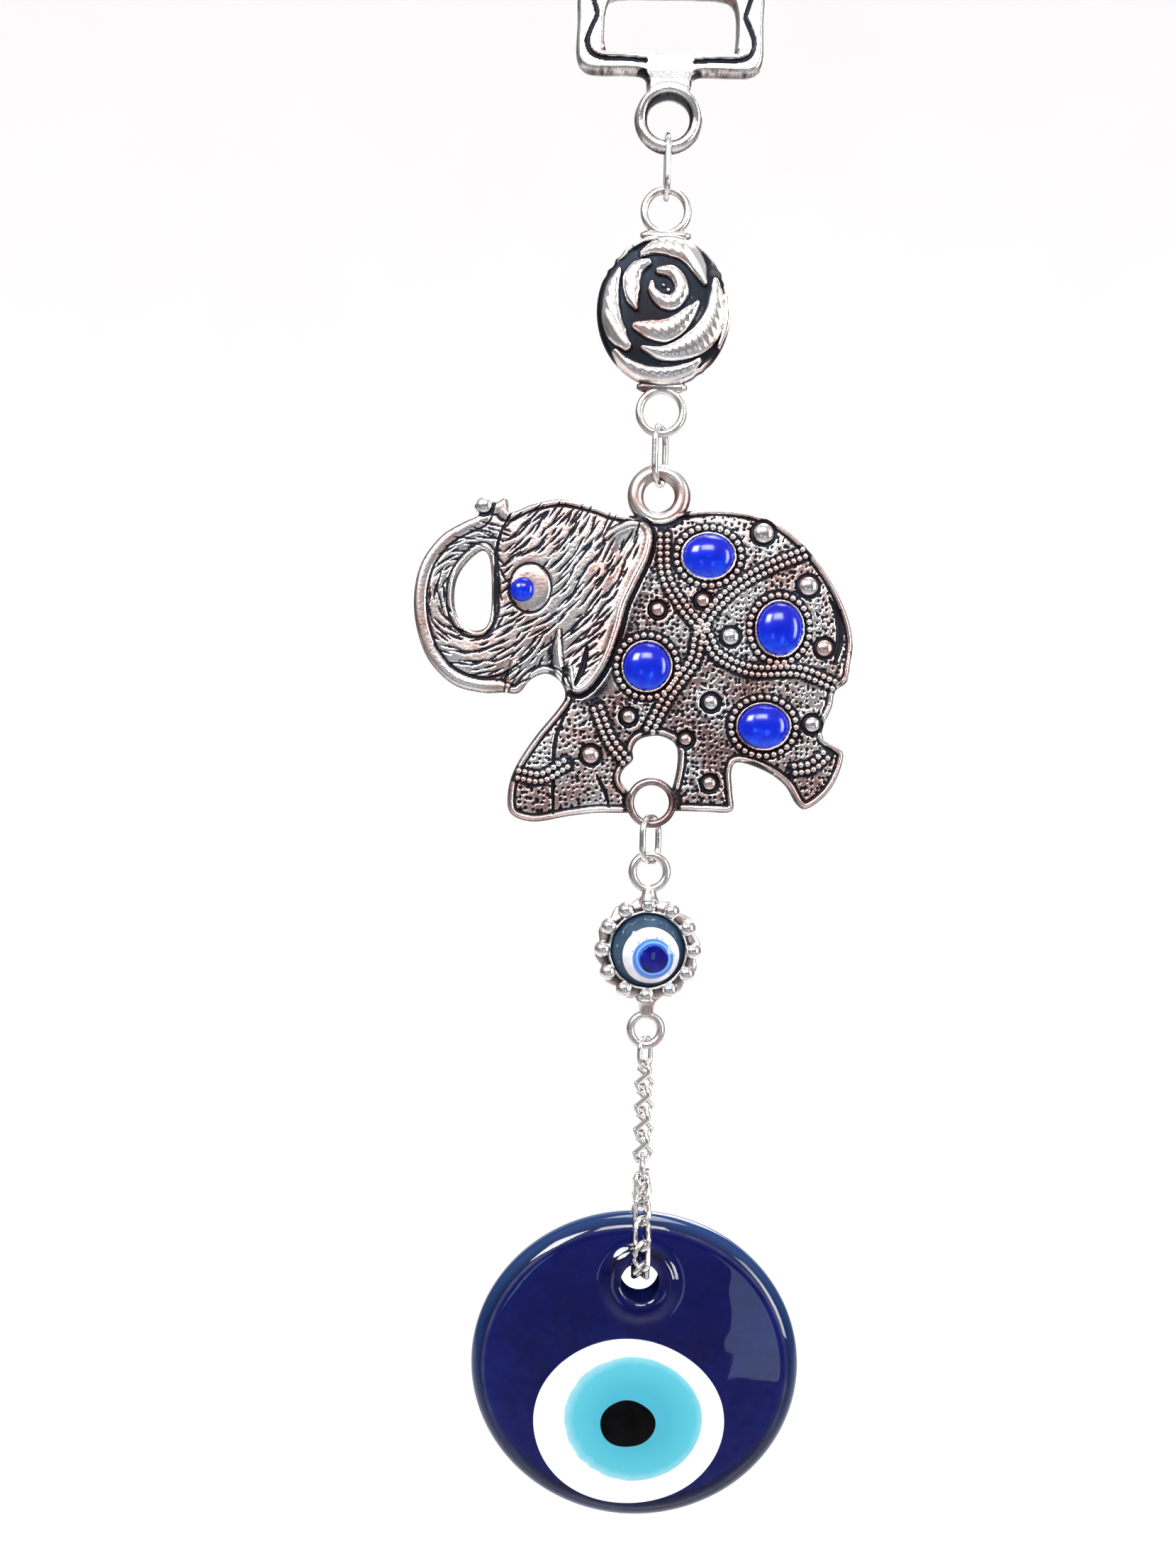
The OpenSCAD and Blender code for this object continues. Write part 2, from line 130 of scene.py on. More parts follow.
def lofted(shape, rings, flip=False, tarnish=0.0):
    """Joins closed rings of points in order, and closes each end with a point in its middle."""
    rings = np.asarray(rings, float)
    rows, columns = rings.shape[:2]
    around = np.arange(columns)
    after = (around + 1) % columns
    fans = []
    for end, (row, reverse) in enumerate(((0, flip), (rows - 1, not flip))):
        tip = np.full(columns, rows * columns + end)
        fan = np.stack([around + row * columns, tip, after + row * columns], 1)
        fans.append(fan[:, ::-1] if reverse else fan)
    points = np.concatenate([rings.reshape(-1, 3), rings[0].mean(0)[None], rings[-1].mean(0)[None]])
    shape.add(points, strip_faces(rows, columns, flip=flip), *fans, tarnish=tarnish)


def add_painted_side_shade(tarnish, facing):
    """The value given plus painted shade that grows as the surface turns away from the front and back."""
    return tarnish + 0.55 * np.clip(1 - facing, 0, 1) ** 1.7


def tube(shape, path, radius, closed=False, sides=20, tarnish=0.0):
    """A round wire along a path, with a radius for the whole path or for each point."""
    path = np.asarray(path, float)
    count = len(path)
    if closed:
        tangent = np.roll(path, -1, 0) - np.roll(path, 1, 0)
    else:
        tangent = np.gradient(path, axis=0)
    tangent /= np.linalg.norm(tangent, axis=1)[:, None]
    normal = np.zeros_like(path)
    start = np.cross(tangent[0], (0, 1, 0))
    if np.linalg.norm(start) < 0.3:
        start = np.cross(tangent[0], (1, 0, 0))
    normal[0] = start / np.linalg.norm(start)
    for i in range(1, count):
        n = normal[i - 1] - tangent[i] * normal[i - 1].dot(tangent[i])
        normal[i] = n / np.linalg.norm(n)
    side = np.cross(tangent, normal)
    twist = np.zeros(count)
    if closed:
        end = normal[-1] - tangent[0] * normal[-1].dot(tangent[0])
        twist = -np.arctan2(end.dot(side[0]), end.dot(normal[0])) * np.arange(count) / count
    angle = np.linspace(0, 2 * math.pi, sides, endpoint=False)[None, :] + twist[:, None]
    radius = np.broadcast_to(np.asarray(radius, float), count)[:, None, None]
    rings = path[:, None] + radius * (
        np.cos(angle)[..., None] * normal[:, None] + np.sin(angle)[..., None] * side[:, None]
    )
    if closed:
        # Painted shade darkens the sides of the wire, where it turns away from the front and back.
        facing = np.abs((rings - path[:, None])[..., 1]) / radius[..., 0]
        shade = add_painted_side_shade(tarnish, facing.ravel())
        shape.add(rings.reshape(-1, 3), strip_faces(count, sides, closed_rows=True), tarnish=shade)
    else:
        lofted(shape, rings, tarnish=tarnish)


def circle(centre, r, count):
    """Points round a circle that faces the front."""
    return upright(oval((centre[0], centre[2]), r, r, count), centre[1])


def balls(shape, centres, radii, rings=8, columns=14, tarnish=0.0, flat=1.0):
    """A ball at each centre. Below 1, flat squashes them front to back."""
    polar = np.linspace(0, math.pi, rings + 1)[1:-1]
    a = np.linspace(0, 2 * math.pi, columns, endpoint=False)
    across = np.outer(np.sin(polar), np.cos(a))
    forward = np.outer(-np.cos(polar), np.ones(columns))
    up = np.outer(np.sin(polar), np.sin(a))
    unit = np.stack([across, forward * flat, up], 2)
    # Painted shade darkens the sides of each ball.
    shade = np.append(add_painted_side_shade(tarnish, np.abs(forward.ravel())), (tarnish, tarnish))
    for centre, r in zip(centres, np.broadcast_to(radii, len(centres))):
        lofted(shape, unit * r + np.asarray(centre), flip=True, tarnish=shade)


# ---------------------------------------------------------------- lines


def spline(points, steps=8, closed=False):
    """A smooth line through the points."""
    p = np.asarray(points, float)
    if closed:
        a, b, c, d = np.roll(p, 1, 0), p, np.roll(p, -1, 0), np.roll(p, -2, 0)
    else:
        padded = np.concatenate([2 * p[:1] - p[1:2], p, 2 * p[-1:] - p[-2:-1]])
        a, b, c, d = padded[:-3], padded[1:-2], padded[2:-1], padded[3:]
    t = (np.arange(steps) / steps)[None, :, None]
    a, b, c, d = (v[:, None] for v in (a, b, c, d))
    line = 0.5 * (2 * b + t * (c - a) + t**2 * (2 * a - 5 * b + 4 * c - d) + t**3 * (3 * b - a - 3 * c + d))
    line = line.reshape(-1, p.shape[1])
    return line if closed else np.concatenate([line, p[-1:]])


def spaced(line, gap):
    """The line with its points about gap apart."""
    line = np.asarray(line, float)
    run = np.concatenate([[0], np.cumsum(np.linalg.norm(np.diff(line, axis=0), axis=1))])
    wanted = np.linspace(0, run[-1], max(2, int(round(run[-1] / gap)) + 1))
    return np.stack([np.interp(wanted, run, line[:, k]) for k in range(line.shape[1])], 1)


def beside(line, offset):
    """The line moved sideways."""
    along = np.gradient(line, axis=0)
    along /= np.linalg.norm(along, axis=1)[:, None]
    return line + offset * np.stack([-along[:, 1], along[:, 0]], 1)


def drawn(places, gap=0.12, steps=8):
    """A smooth line through the places, as points about gap apart."""
    return spaced(spline(places, steps), gap)


def mirrored(right):
    """A closed outline from its right half, whose first and last places may be on the middle line."""
    left = right[::-1] * (-1, 1)
    return np.concatenate([right, left[np.abs(left[:, 0]) > 1e-9]])


def ease(value):
    """0 below 0, 1 above 1 and a smooth step between."""
    v = np.clip(value, 0, 1)
    return v * v * (3 - 2 * v)


def oval(centre, a, b, count=96):
    """Places round an oval, as x and z."""
    t = np.linspace(0, 2 * math.pi, count, endpoint=False)
    return np.stack([centre[0] + a * np.cos(t), centre[1] + b * np.sin(t)], 1)


def upright(places, y):
    """The places as points at y, which is one value or one for each."""
    return np.stack([places[:, 0], np.broadcast_to(y, len(places)), places[:, 1]], 1)


# ---------------------------------------------------------------- castings


def inset_in(x, z, loops):
    """How far each point is inside the closed loops, and the nearest point on them."""
    best = np.full(x.shape, np.inf)
    near_x, near_z = np.zeros_like(x), np.zeros_like(z)
    inside = np.zeros(x.shape, bool)
    for loop in loops:
        for (ax, az), (bx, bz) in zip(loop, np.roll(loop, -1, 0)):
            dx, dz = bx - ax, bz - az
            t = np.clip(((x - ax) * dx + (z - az) * dz) / max(dx * dx + dz * dz, 1e-12), 0, 1)
            qx, qz = ax + t * dx, az + t * dz
            gap = (x - qx) ** 2 + (z - qz) ** 2
            closer = gap < best
            best = np.where(closer, gap, best)
            near_x, near_z = np.where(closer, qx, near_x), np.where(closer, qz, near_z)
            if az != bz:
                inside ^= ((az > z) != (bz > z)) & (x < ax + (z - az) * dx / dz)
    distance = np.sqrt(best)
    return np.where(inside, distance, -distance), near_x, near_z


class Relief:
    """The face of a casting as a height map. Heights are above the plate's flat face, in millimetres."""

    def __init__(self, loops, step):
        every = np.concatenate(loops)
        low, high = every.min(0) - 2 * step, every.max(0) + 2 * step
        self.step = step
        self.low = low
        self.x, self.z = np.meshgrid(
            np.arange(low[0], high[0] + step, step), np.arange(low[1], high[1] + step, step), indexing="ij"
        )
        self.inset, self.near_x, self.near_z = inset_in(self.x, self.z, loops)
        self.lift = np.zeros_like(self.x)
        self.cut = np.zeros_like(self.x)
        self.soot_and_shadow = np.zeros_like(self.x)

    def _window(self, centre, r):
        """The part of the grid within r of the centre."""
        i = np.floor((np.asarray(centre) - r - self.low) / self.step).astype(int)
        j = np.ceil((np.asarray(centre) + r - self.low) / self.step).astype(int) + 1
        i = np.maximum(i, 0)
        return slice(i[0], max(j[0], 0)), slice(i[1], max(j[1], 0))

    def stamp(self, layer, line, width, height, power=0.5):
        """Presses a rounded ridge along the line into one layer: the lift, the cut, or the black layer that
        holds patina and painted shadow.
        """
        target = getattr(self, layer)
        widths = np.interp(np.linspace(0, 1, len(line)), np.linspace(0, 1, np.size(width)), np.ravel(width))
        for centre, w in zip(line, widths):
            window = self._window(centre, w)
            gap = ((self.x[window] - centre[0]) ** 2 + (self.z[window] - centre[1]) ** 2) / (w * w)
            target[window] = np.maximum(target[window], height * np.clip(1 - gap, 0, 1) ** power)

    def groove(self, line, width, depth, soot_width, soot_and_shadow):
        """A cut line with soot in it."""
        self.stamp("cut", line, width, depth)
        self.stamp("soot_and_shadow", line, soot_width, soot_and_shadow)

    def ring(self, layer, centre, r, width, height):
        """A rounded ring of that middle radius."""
        window = self._window(centre, r + width)
        gap = np.hypot(self.x[window] - centre[0], self.z[window] - centre[1]) - r
        target = getattr(self, layer)
        target[window] = np.maximum(target[window], height * np.sqrt(np.clip(1 - (gap / width) ** 2, 0, 1)))

    def blurred(self, values, cells):
        """The values averaged over a square of cells, leaving out what is off the plate."""
        weight = (self.inset > -self.step).astype(float)
        total = values * weight
        for axis in (0, 1):
            total = sum(np.roll(total, k, axis) for k in range(-cells, cells + 1))
            weight = sum(np.roll(weight, k, axis) for k in range(-cells, cells + 1))
        return total / np.maximum(weight, 1)

    def value(self, values, x, z):
        """The value of the grid cell that a place falls in, or False off the grid."""
        i, j = ((np.array((x, z)) - self.low) / self.step).astype(int)
        return 0 <= i < values.shape[0] and 0 <= j < values.shape[1] and values[i, j]

    def gap_to(self, places):
        """How far each point is from the nearest of the places."""
        gap = np.full(self.x.shape, np.inf)
        for x, z in places:
            gap = np.minimum(gap, np.hypot(self.x - x, self.z - z))
        return gap

    def heights(self, base):
        """The finished height and tarnish of each point, over a smooth base height, with painted shade along
        the outline.
        """
        height = base + self.lift - self.cut
        hollow = self.blurred(height, max(1, int(0.45 / self.step))) - height
        # Painted shade darkens the rolled edge within 0.45 mm of the outline.
        edge = 0.4 * (1 - ease(self.inset / 0.45))
        tarnish = np.clip(0.3 + hollow * 4.5 + self.cut * 1.8 + self.soot_and_shadow + edge, 0, 1)
        return height, tarnish


def cast_plate(shape, relief, front, back, edge_r, tarnish, back_tarnish=0.35):
    """A closed plate from its front and back heights above the middle plane, rounded over at its outline."""
    step = relief.step
    keep = relief.inset > -0.5 * step
    cells = keep[:-1, :-1] & keep[1:, :-1] & keep[1:, 1:] & keep[:-1, 1:]
    around = np.zeros(keep.shape, int)
    for i, j in ((0, 0), (1, 0), (1, 1), (0, 1)):
        around[i : i + cells.shape[0], j : j + cells.shape[1]] += cells
    used = around > 0
    rim = used & (around < 4)
    x = np.where(rim, relief.near_x, relief.x)
    z = np.where(rim, relief.near_z, relief.z)
    inset = np.where(rim, 0, np.maximum(relief.inset, 0.02))
    roll = np.sqrt(1 - (1 - np.clip(inset / edge_r, 0, 1)) ** 2)
    number = np.cumsum(used.ravel()).reshape(used.shape) - 1
    points_front = np.stack([x[used], (-front * roll)[used], z[used]], 1)
    inner = used & ~rim
    number_back = number.copy()
    number_back[inner] = used.sum() + np.arange(inner.sum())
    points_back = np.stack([x[inner], (back * roll)[inner], z[inner]], 1)
    i, j = np.nonzero(cells)
    corners = [(i, j), (i + 1, j), (i + 1, j + 1), (i, j + 1)]
    faces_front = np.stack([number[c] for c in corners], 1)
    faces_back = np.stack([number_back[c] for c in corners], 1)[:, ::-1]
    shades = np.concatenate([tarnish[used], np.broadcast_to(back_tarnish, used.shape)[inner]])
    shape.add(np.concatenate([points_front, points_back]), faces_front, faces_back, tarnish=shades)


# ---------------------------------------------------------------- materials


class Nodes:
    """Short calls for the nodes of one tree."""

    def __init__(self, tree):
        self.tree = tree

    def node(self, kind, inputs=None, **settings):
        """A new node with some inputs set or linked."""
        made = self.tree.nodes.new(kind)
        for key, value in settings.items():
            setattr(made, key, value)
        for key, value in (inputs or {}).items():
            self.put(made, key, value)
        return made

    def put(self, node, key, value):
        """Sets an input to a value or links it to another node's output."""
        socket = node.inputs[key]
        if isinstance(value, bpy.types.NodeSocket):
            self.tree.links.new(value, socket)
        else:
            socket.default_value = value

    def place(self, kind="Object"):
        return self.node("ShaderNodeTexCoord").outputs[kind]

    def noise(self, size_mm, detail=3.0):
        """Noise with features about size_mm wide."""
        inputs = {"Vector": self.place(), "Scale": 1 / (size_mm * MM), "Detail": detail}
        return self.node("ShaderNodeTexNoise", inputs).outputs["Fac"]

    def ramp(self, factor, *stops):
        """A colour from stops of (position, colour)."""
        made = self.node("ShaderNodeValToRGB", {"Fac": factor})
        elements = made.color_ramp.elements
        while len(elements) < len(stops):
            elements.new(0.5)
        for element, (at, colour) in zip(elements, stops):
            element.position = at
            element.color = (*colour, 1)
        return made.outputs["Color"]

    def math(self, operation, a, b=0.0, clamp=False):
        made = self.node("ShaderNodeMath", operation=operation, use_clamp=clamp)
        self.put(made, 0, a)
        self.put(made, 1, b)
        return made.outputs[0]

    def scaled(self, value, factor, start=0.0):
        """start plus factor times the value."""
        return self.math("ADD", self.math("MULTIPLY", value, factor), start)

    def swing(self, value, middle, amount):
        """How far the value is above middle, times amount."""
        return self.math("MULTIPLY", self.math("SUBTRACT", value, middle), amount)

    def distance(self, place, scale):
        """How far a place is from the origin, once scaled along each axis."""
        stretched = self.node("ShaderNodeVectorMath", {0: place, 1: scale}, operation="MULTIPLY")
        length = self.node("ShaderNodeVectorMath", {0: stretched.outputs[0]}, operation="LENGTH")
        return length.outputs["Value"]

    def along(self, kind, axis):
        """One axis of a texture coordinate."""
        return self.node("ShaderNodeSeparateXYZ", {"Vector": self.place(kind)}).outputs[axis]

    def mixed(self, factor, a, b, blend="MIX"):
        made = self.node("ShaderNodeMix", data_type="RGBA", blend_type=blend)
        for index, value in ((0, factor), (6, a), (7, b)):
            if isinstance(value, bpy.types.NodeSocket):
                self.tree.links.new(value, made.inputs[index])
            else:
                made.inputs[index].default_value = value if index == 0 else (*value, 1)
        return made.outputs[2]


class Paint(Nodes):
    """A new material and its nodes."""

    def __init__(self, name):
        self.material = bpy.data.materials.new(name)
        self.material.use_nodes = True
        super().__init__(self.material.node_tree)
        self.shader = self.tree.nodes["Principled BSDF"]
        self.output = self.tree.nodes["Material Output"]

    def set(self, **values):
        """Sets inputs of the shader, with _ for each space in a name."""
        for key, value in values.items():
            self.put(self.shader, key.replace("_", " "), value)

    def bump(self, height, depth_mm, strength=1.0):
        inputs = {"Height": height, "Distance": depth_mm * MM, "Strength": strength}
        made = self.node("ShaderNodeBump", inputs)
        self.put(self.shader, "Normal", made.outputs["Normal"])

    def tarnish(self):
        return self.node("ShaderNodeAttribute", attribute_name="tarnish").outputs["Fac"]


def cast_silver(name, warmest, coolest):
    """Antique silver plate: bright where it is rubbed, blue-black in the hollows and darker where painted
    shade is added, with warm worn patches.

    Noise above warmest is warm and noise below coolest is not.
    """
    p = Paint(name)
    speckle = p.swing(p.noise(0.35, 4), 0.5, 0.3)
    patch = p.swing(p.noise(6, 3), 0.42, 0.9)
    shade = p.math("ADD", p.math("ADD", p.tarnish(), patch), speckle, clamp=True)
    metal = p.ramp(
        shade,
        (0.0, (0.95, 0.93, 0.91)),
        (0.3, (0.74, 0.70, 0.68)),
        (0.55, (0.27, 0.24, 0.24)),
        (0.85, (0.016, 0.020, 0.028)),
    )
    warm = p.math("MULTIPLY", p.ramp(p.noise(6, 3), (coolest, (0, 0, 0)), (warmest, (1, 1, 1))), 0.75)
    p.set(
        Base_Color=p.mixed(warm, metal, (0.98, 0.62, 0.56), "MULTIPLY"),
        Metallic=1.0,
        Roughness=p.scaled(shade, 0.3, 0.2),
    )
    p.bump(p.noise(0.22, 3), 0.03, 0.35)
    return p.material


def plated_wire():
    """Bright nickel plated wire with faint drawing marks, and painted shade that darkens its sides so it is
    brightest on its front and back.
    """
    p = Paint("plated_wire")
    grain = p.noise(0.5, 4)
    # Painted shade: darker as the surface turns away from the front and back, mixed with the wire's own
    # grain.
    facing = p.math("ABSOLUTE", p.along("Normal", "Y"))
    facing_shade_and_grain = p.math("ADD", facing, p.swing(grain, 0.5, 0.5))
    metal = p.ramp(
        facing_shade_and_grain,
        (0.0, (0.22, 0.19, 0.19)),
        (0.35, (0.74, 0.69, 0.67)),
        (0.6, (0.97, 0.95, 0.93)),
    )
    p.set(Base_Color=metal, Metallic=1.0, Roughness=p.scaled(grain, 0.18, 0.08))
    p.bump(p.noise(0.15, 2), 0.01, 0.5)
    return p.material


def stone_glass():
    """A bright blue glass stone over foil, with painted light that makes it lightest near its lower edge."""
    p = Paint("blue_stone")
    low = p.along("Generated", "Z")
    cloud = p.noise(1.3, 3)
    # Painted light grows towards the lower edge; the cloud is the stone's own uneven tone.
    depth = p.math("ADD", p.math("MULTIPLY", low, 0.75), p.swing(cloud, 0.5, 0.9))
    p.set(
        Base_Color=p.ramp(
            depth,
            (0.0, (0.002, 0.07, 0.80)),
            (0.25, (0.0, 0.022, 0.62)),
            (0.55, (0.0, 0.008, 0.44)),
            (0.9, (0.0, 0.003, 0.24)),
        ),
        Metallic=0.25,
        Roughness=p.scaled(cloud, 0.1, 0.12),
        Coat_Weight=0.3,
        Coat_Roughness=0.02,
    )
    return p.material


def poured(p, colour, roughness, coat, wave_mm):
    """Opaque glass poured into a shallow pool, with a clear gloss over slow waves."""
    p.set(
        Base_Color=colour,
        Roughness=roughness,
        Specular_IOR_Level=0.0,
        Coat_Weight=coat,
        Coat_Roughness=0.03,
    )
    p.bump(p.noise(3.5, 1), wave_mm, 0.35)
    return p.material


def enamel(name, low, high, size_mm, roughness=0.12, coat=1.0):
    """Poured glass with slow streaks between two tones."""
    p = Paint(name)
    streak = p.noise(size_mm, 3)
    colour = p.ramp(streak, (0.35, low), (0.68, high))
    return poured(p, colour, p.scaled(streak, 0.05, roughness), coat, 0.05)


def cobalt_glass():
    """Deep blue glass. Its thin rim is milky teal and the wall of its hole is rough and dark."""
    p = Paint("cobalt_glass")
    streak = p.noise(6, 2)
    milky = p.tarnish()  # 0 in the clear glass, up to 0.42 at the rim and 1 on the wall of the hole
    wall = p.math("MULTIPLY", p.math("SUBTRACT", milky, 0.5, clamp=True), 2.0)
    cover = p.math("MULTIPLY", milky, 2.0, clamp=True)
    clear = p.ramp(streak, (0.38, (0.30, 0.36, 0.62)), (0.62, (0.92, 0.95, 1.0)))
    cloudy = p.ramp(milky, (0.5, (0.010, 0.036, 0.125)), (0.75, (0.003, 0.006, 0.05)))
    p.set(
        Base_Color=p.mixed(p.math("MULTIPLY", milky, 12.0, clamp=True), clear, cloudy),
        Roughness=p.scaled(streak, 0.03, p.math("MULTIPLY", wall, 0.6)),
        Specular_IOR_Level=p.math("SUBTRACT", 0.38, p.math("MULTIPLY", wall, 0.38)),
        IOR=1.5,
        Transmission_Weight=p.math("SUBTRACT", 1.0, cover),
    )
    p.bump(p.noise(8, 1), 0.12, 0.5)
    inner = p.node("ShaderNodeVolumeAbsorption", {"Color": (0.03, 0.23, 0.66, 1), "Density": 1000.0})
    p.tree.links.new(inner.outputs["Volume"], p.output.inputs["Volume"])
    return p.material


def iris_glass(name, aside, *stops):
    """Poured glass whose colour changes from its middle, which lies a little aside, out to its edge."""
    p = Paint(name)
    place = p.node("ShaderNodeMapping", {"Vector": p.place("Generated"), "Location": (-0.5 - aside, 0, -0.5)})
    out = p.distance(place.outputs[0], (2.0, 0.0, 2.0))
    shade = p.math("ADD", out, p.swing(p.noise(1.6, 4), 0.5, 0.08))
    colour = p.ramp(shade, *stops)
    return poured(p, colour, p.scaled(shade, 0.04, 0.1), 1.0, 0.04)


SILVER = cast_silver("antique_silver", 0.70, 0.54)
WORN_SILVER = cast_silver("worn_silver", 0.62, 0.40)
WIRE = plated_wire()
STONE = stone_glass()


def middle_mm(node):
    """The middle of a CAD node's box, in millimetres."""
    low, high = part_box(node)
    return (np.array(low) + np.array(high)) / 2 / MM


def top_mm(node):
    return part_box(node)[1].z / MM


# ---------------------------------------------------------------- hanger

HANGER_HALF = 14.6
SLOT_LOW = -8.3
BAR = 3.6
BAR_LOW = -11.9
HANGER_T = 3.2
EYE_HOLE = 3.25
EYE_R = 5.3
EYE_Z = -18.75
NECK_HALF = 3.55
NECK_LOW = -14.8
GROOVE = 0.42


def hanger_outline():
    """The frame, narrowed to its neck and ending in the round eye."""
    corner = spline([(9, BAR), (12.4, BAR - 0.15), (14.3, BAR - 1.7), (HANGER_HALF, 0)], 5)
    side = [(HANGER_HALF - 0.1, -4), (HANGER_HALF, -8.6), (14.1, -10.7), (12.9, -11.7), (11, -11.95)]
    neck = [(7, BAR_LOW), (4.6, -12), (3.7, -12.7), (NECK_HALF, -13.9)]
    start = math.atan2(NECK_LOW - EYE_Z, NECK_HALF)
    eye = [(EYE_R * math.cos(a), EYE_Z + EYE_R * math.sin(a)) for a in np.linspace(start, -math.pi / 2, 22)]
    return mirrored(np.concatenate([corner, spline(side + neck, 5), np.array(eye)]))


def slot_outline():
    side = [(0, 0), (6.5, 0), (9, -0.5), (9.9, -2.2), (10.1, -5), (9.9, -8.0), (9.2, SLOT_LOW), (0, SLOT_LOW)]
    return mirrored(spline(side, 6))


def hanger():
    """The strap frame with its black groove, and the thinner, rounded eye below it."""
    relief = Relief([hanger_outline(), slot_outline(), oval((0, EYE_Z), EYE_HOLE, EYE_HOLE, 72)], 0.15)
    down = [(-12.4, 0.2), (-11.9, -1.4), (-11.5, -3.2), (-12.3, -5.2), (-12.9, -7.2), (-12.2, -9.1)]
    along = [(-10.3, -9.85), (-7, -9.9), (-3.9, -10.15)]
    up = [(-12.4, 0.2), (-12.6, 1.0), (-11.4, 1.75), (-9, 1.9), (-4, 1.75)]
    for side in (1, -1):
        for line in (down + along, up):
            relief.groove(drawn(np.array(line) * (side, 1), 0.1), GROOVE, GROOVE, GROOVE, 0.8)
    for side in (1, -1):
        for x in np.arange(4.4, 12.8, 0.5):
            place = (side * (x + rng.uniform(-0.2, 0.2)), rng.uniform(BAR_LOW + 0.15, BAR_LOW + 0.7))
            size = rng.uniform(0.2, 0.55)
            relief.stamp("soot_and_shadow", [place], size, rng.uniform(0.0, 0.3))
        relief.stamp("soot_and_shadow", spaced([(side * 4.2, -12.1), (side * 3.7, -13.4)], 0.2), 0.9, 0.7)
    relief.ring("lift", (0, EYE_Z), EYE_HOLE + 1.05, 0.9, 0.15)
    # Painted shade on the wall of the eye's hole.
    relief.ring("soot_and_shadow", (0, EYE_Z), EYE_HOLE + 0.05, 0.45, 0.9)
    eye_half = np.interp(relief.z, [EYE_Z - 0.5, EYE_Z + EYE_HOLE], [1.25, 2.2])
    half = relief.blurred(np.where(relief.z > BAR_LOW - 0.5, HANGER_T / 2, eye_half), 4)
    pitted = (rng.random(relief.x.shape) - 0.5) * 0.03
    height, tarnish = relief.heights(half + pitted - 0.12)
    shape = Shape()
    cast_plate(shape, relief, height, half + pitted, 0.9, tarnish * 1.15 - 0.25, 0.3)
    shape.piece("hanger_casting", SILVER, "hanger", "cast_silver", "hanger_frame")


# ---------------------------------------------------------------- rose

ROSE_HALF = (10.4, 11.8)
ROSE_RING = (3.375, 0.625)
ROSE_DROP = 15.55
BAR_HALF = 3.9
BAR_DROP = 11.75

# Where leaves reach past the edge: the angle, how wide and how tall
LEAVES = ((0.35, 0.55, 1), (2.45, 0.4, 1), (5.3, 0.3, 0.5))

# Each petal is a line of places and the half widths along it
PETALS = [
    (
        [(-3.75, 8.35), (-1.5, 9.5), (1.1, 9.6), (3.5, 8.7), (5.0, 6.7), (6.1, 4.0)],
        (0.4, 1.2, 1.7, 1.7, 1.35, 0.45),
    ),
    (
        [(-2.6, 7.0), (-4.25, 6.2), (-5.1, 4.6), (-5.1, 2.85), (-4.9, 1.1), (-4.4, -0.15)],
        (0.6, 1.15, 1.45, 1.4, 1.1, 0.4),
    ),
    (
        [(-1, 5.7), (1, 5.6), (2.35, 4.1), (2.5, 2.35), (1.25, 0.85), (-0.5, 1.1), (-1.85, 2.5), (-2.0, 3.7)],
        (0.6, 1.05, 1.15, 1.2, 1.25, 1.2, 0.9, 0.45),
    ),
    (
        [(-4.25, -2.9), (-2, -3.4), (0.25, -3.5), (2.25, -2.4), (3.9, -0.65), (5.1, 0.85)],
        (0.7, 1.5, 1.85, 1.6, 1.1, 0.4),
    ),
    (
        [
            (7.75, 4.5), (8.1, 1.6), (7.85, -0.9), (6.75, -3.4), (5, -5.15), (2.5, -6.4), (-0.25, -6.9),
            (-3.2, -6.2),
        ],
        (0.5, 1.3, 1.7, 2.05, 2.0, 1.5, 1.0, 0.35),
    ),
    (
        [(-7.1, 5.8), (-8.0, 3.35), (-8.2, 0.6), (-7.9, -2.15), (-6.9, -4.4), (-5.75, -5.8)],
        (0.4, 1.0, 1.3, 1.55, 1.6, 0.9),
    ),
    (
        [(-7.4, -6.8), (-5.9, -8.5), (-3.4, -9.8), (-1, -10.2), (1.5, -10.0), (4, -9.1), (5.6, -7.9)],
        (0.5, 1.0, 1.25, 1.25, 1.2, 1.0, 0.45),
    ),
    ([(-4.9, 9.6), (-2.9, 10.9), (0, 11.4), (2.9, 10.9)], (0.3, 0.5, 0.5, 0.3)),
    ([(9.3, 4.2), (9.8, 1.0), (9.6, -2.4), (8.6, -5.6)], (0.3, 0.45, 0.45, 0.3)),
]


def rose_outline():
    """An oval with small teeth where leaves reach past it."""
    t = np.linspace(0, 2 * math.pi, 240, endpoint=False)
    leafy = sum(tall * ease(1 - abs(t - at) / wide) for at, wide, tall in LEAVES)
    teeth = 1 - leafy * 0.035 * np.abs(np.sin(t * 17))
    return np.stack([ROSE_HALF[0] * teeth * np.cos(t), ROSE_HALF[1] * teeth * np.sin(t)], 1)


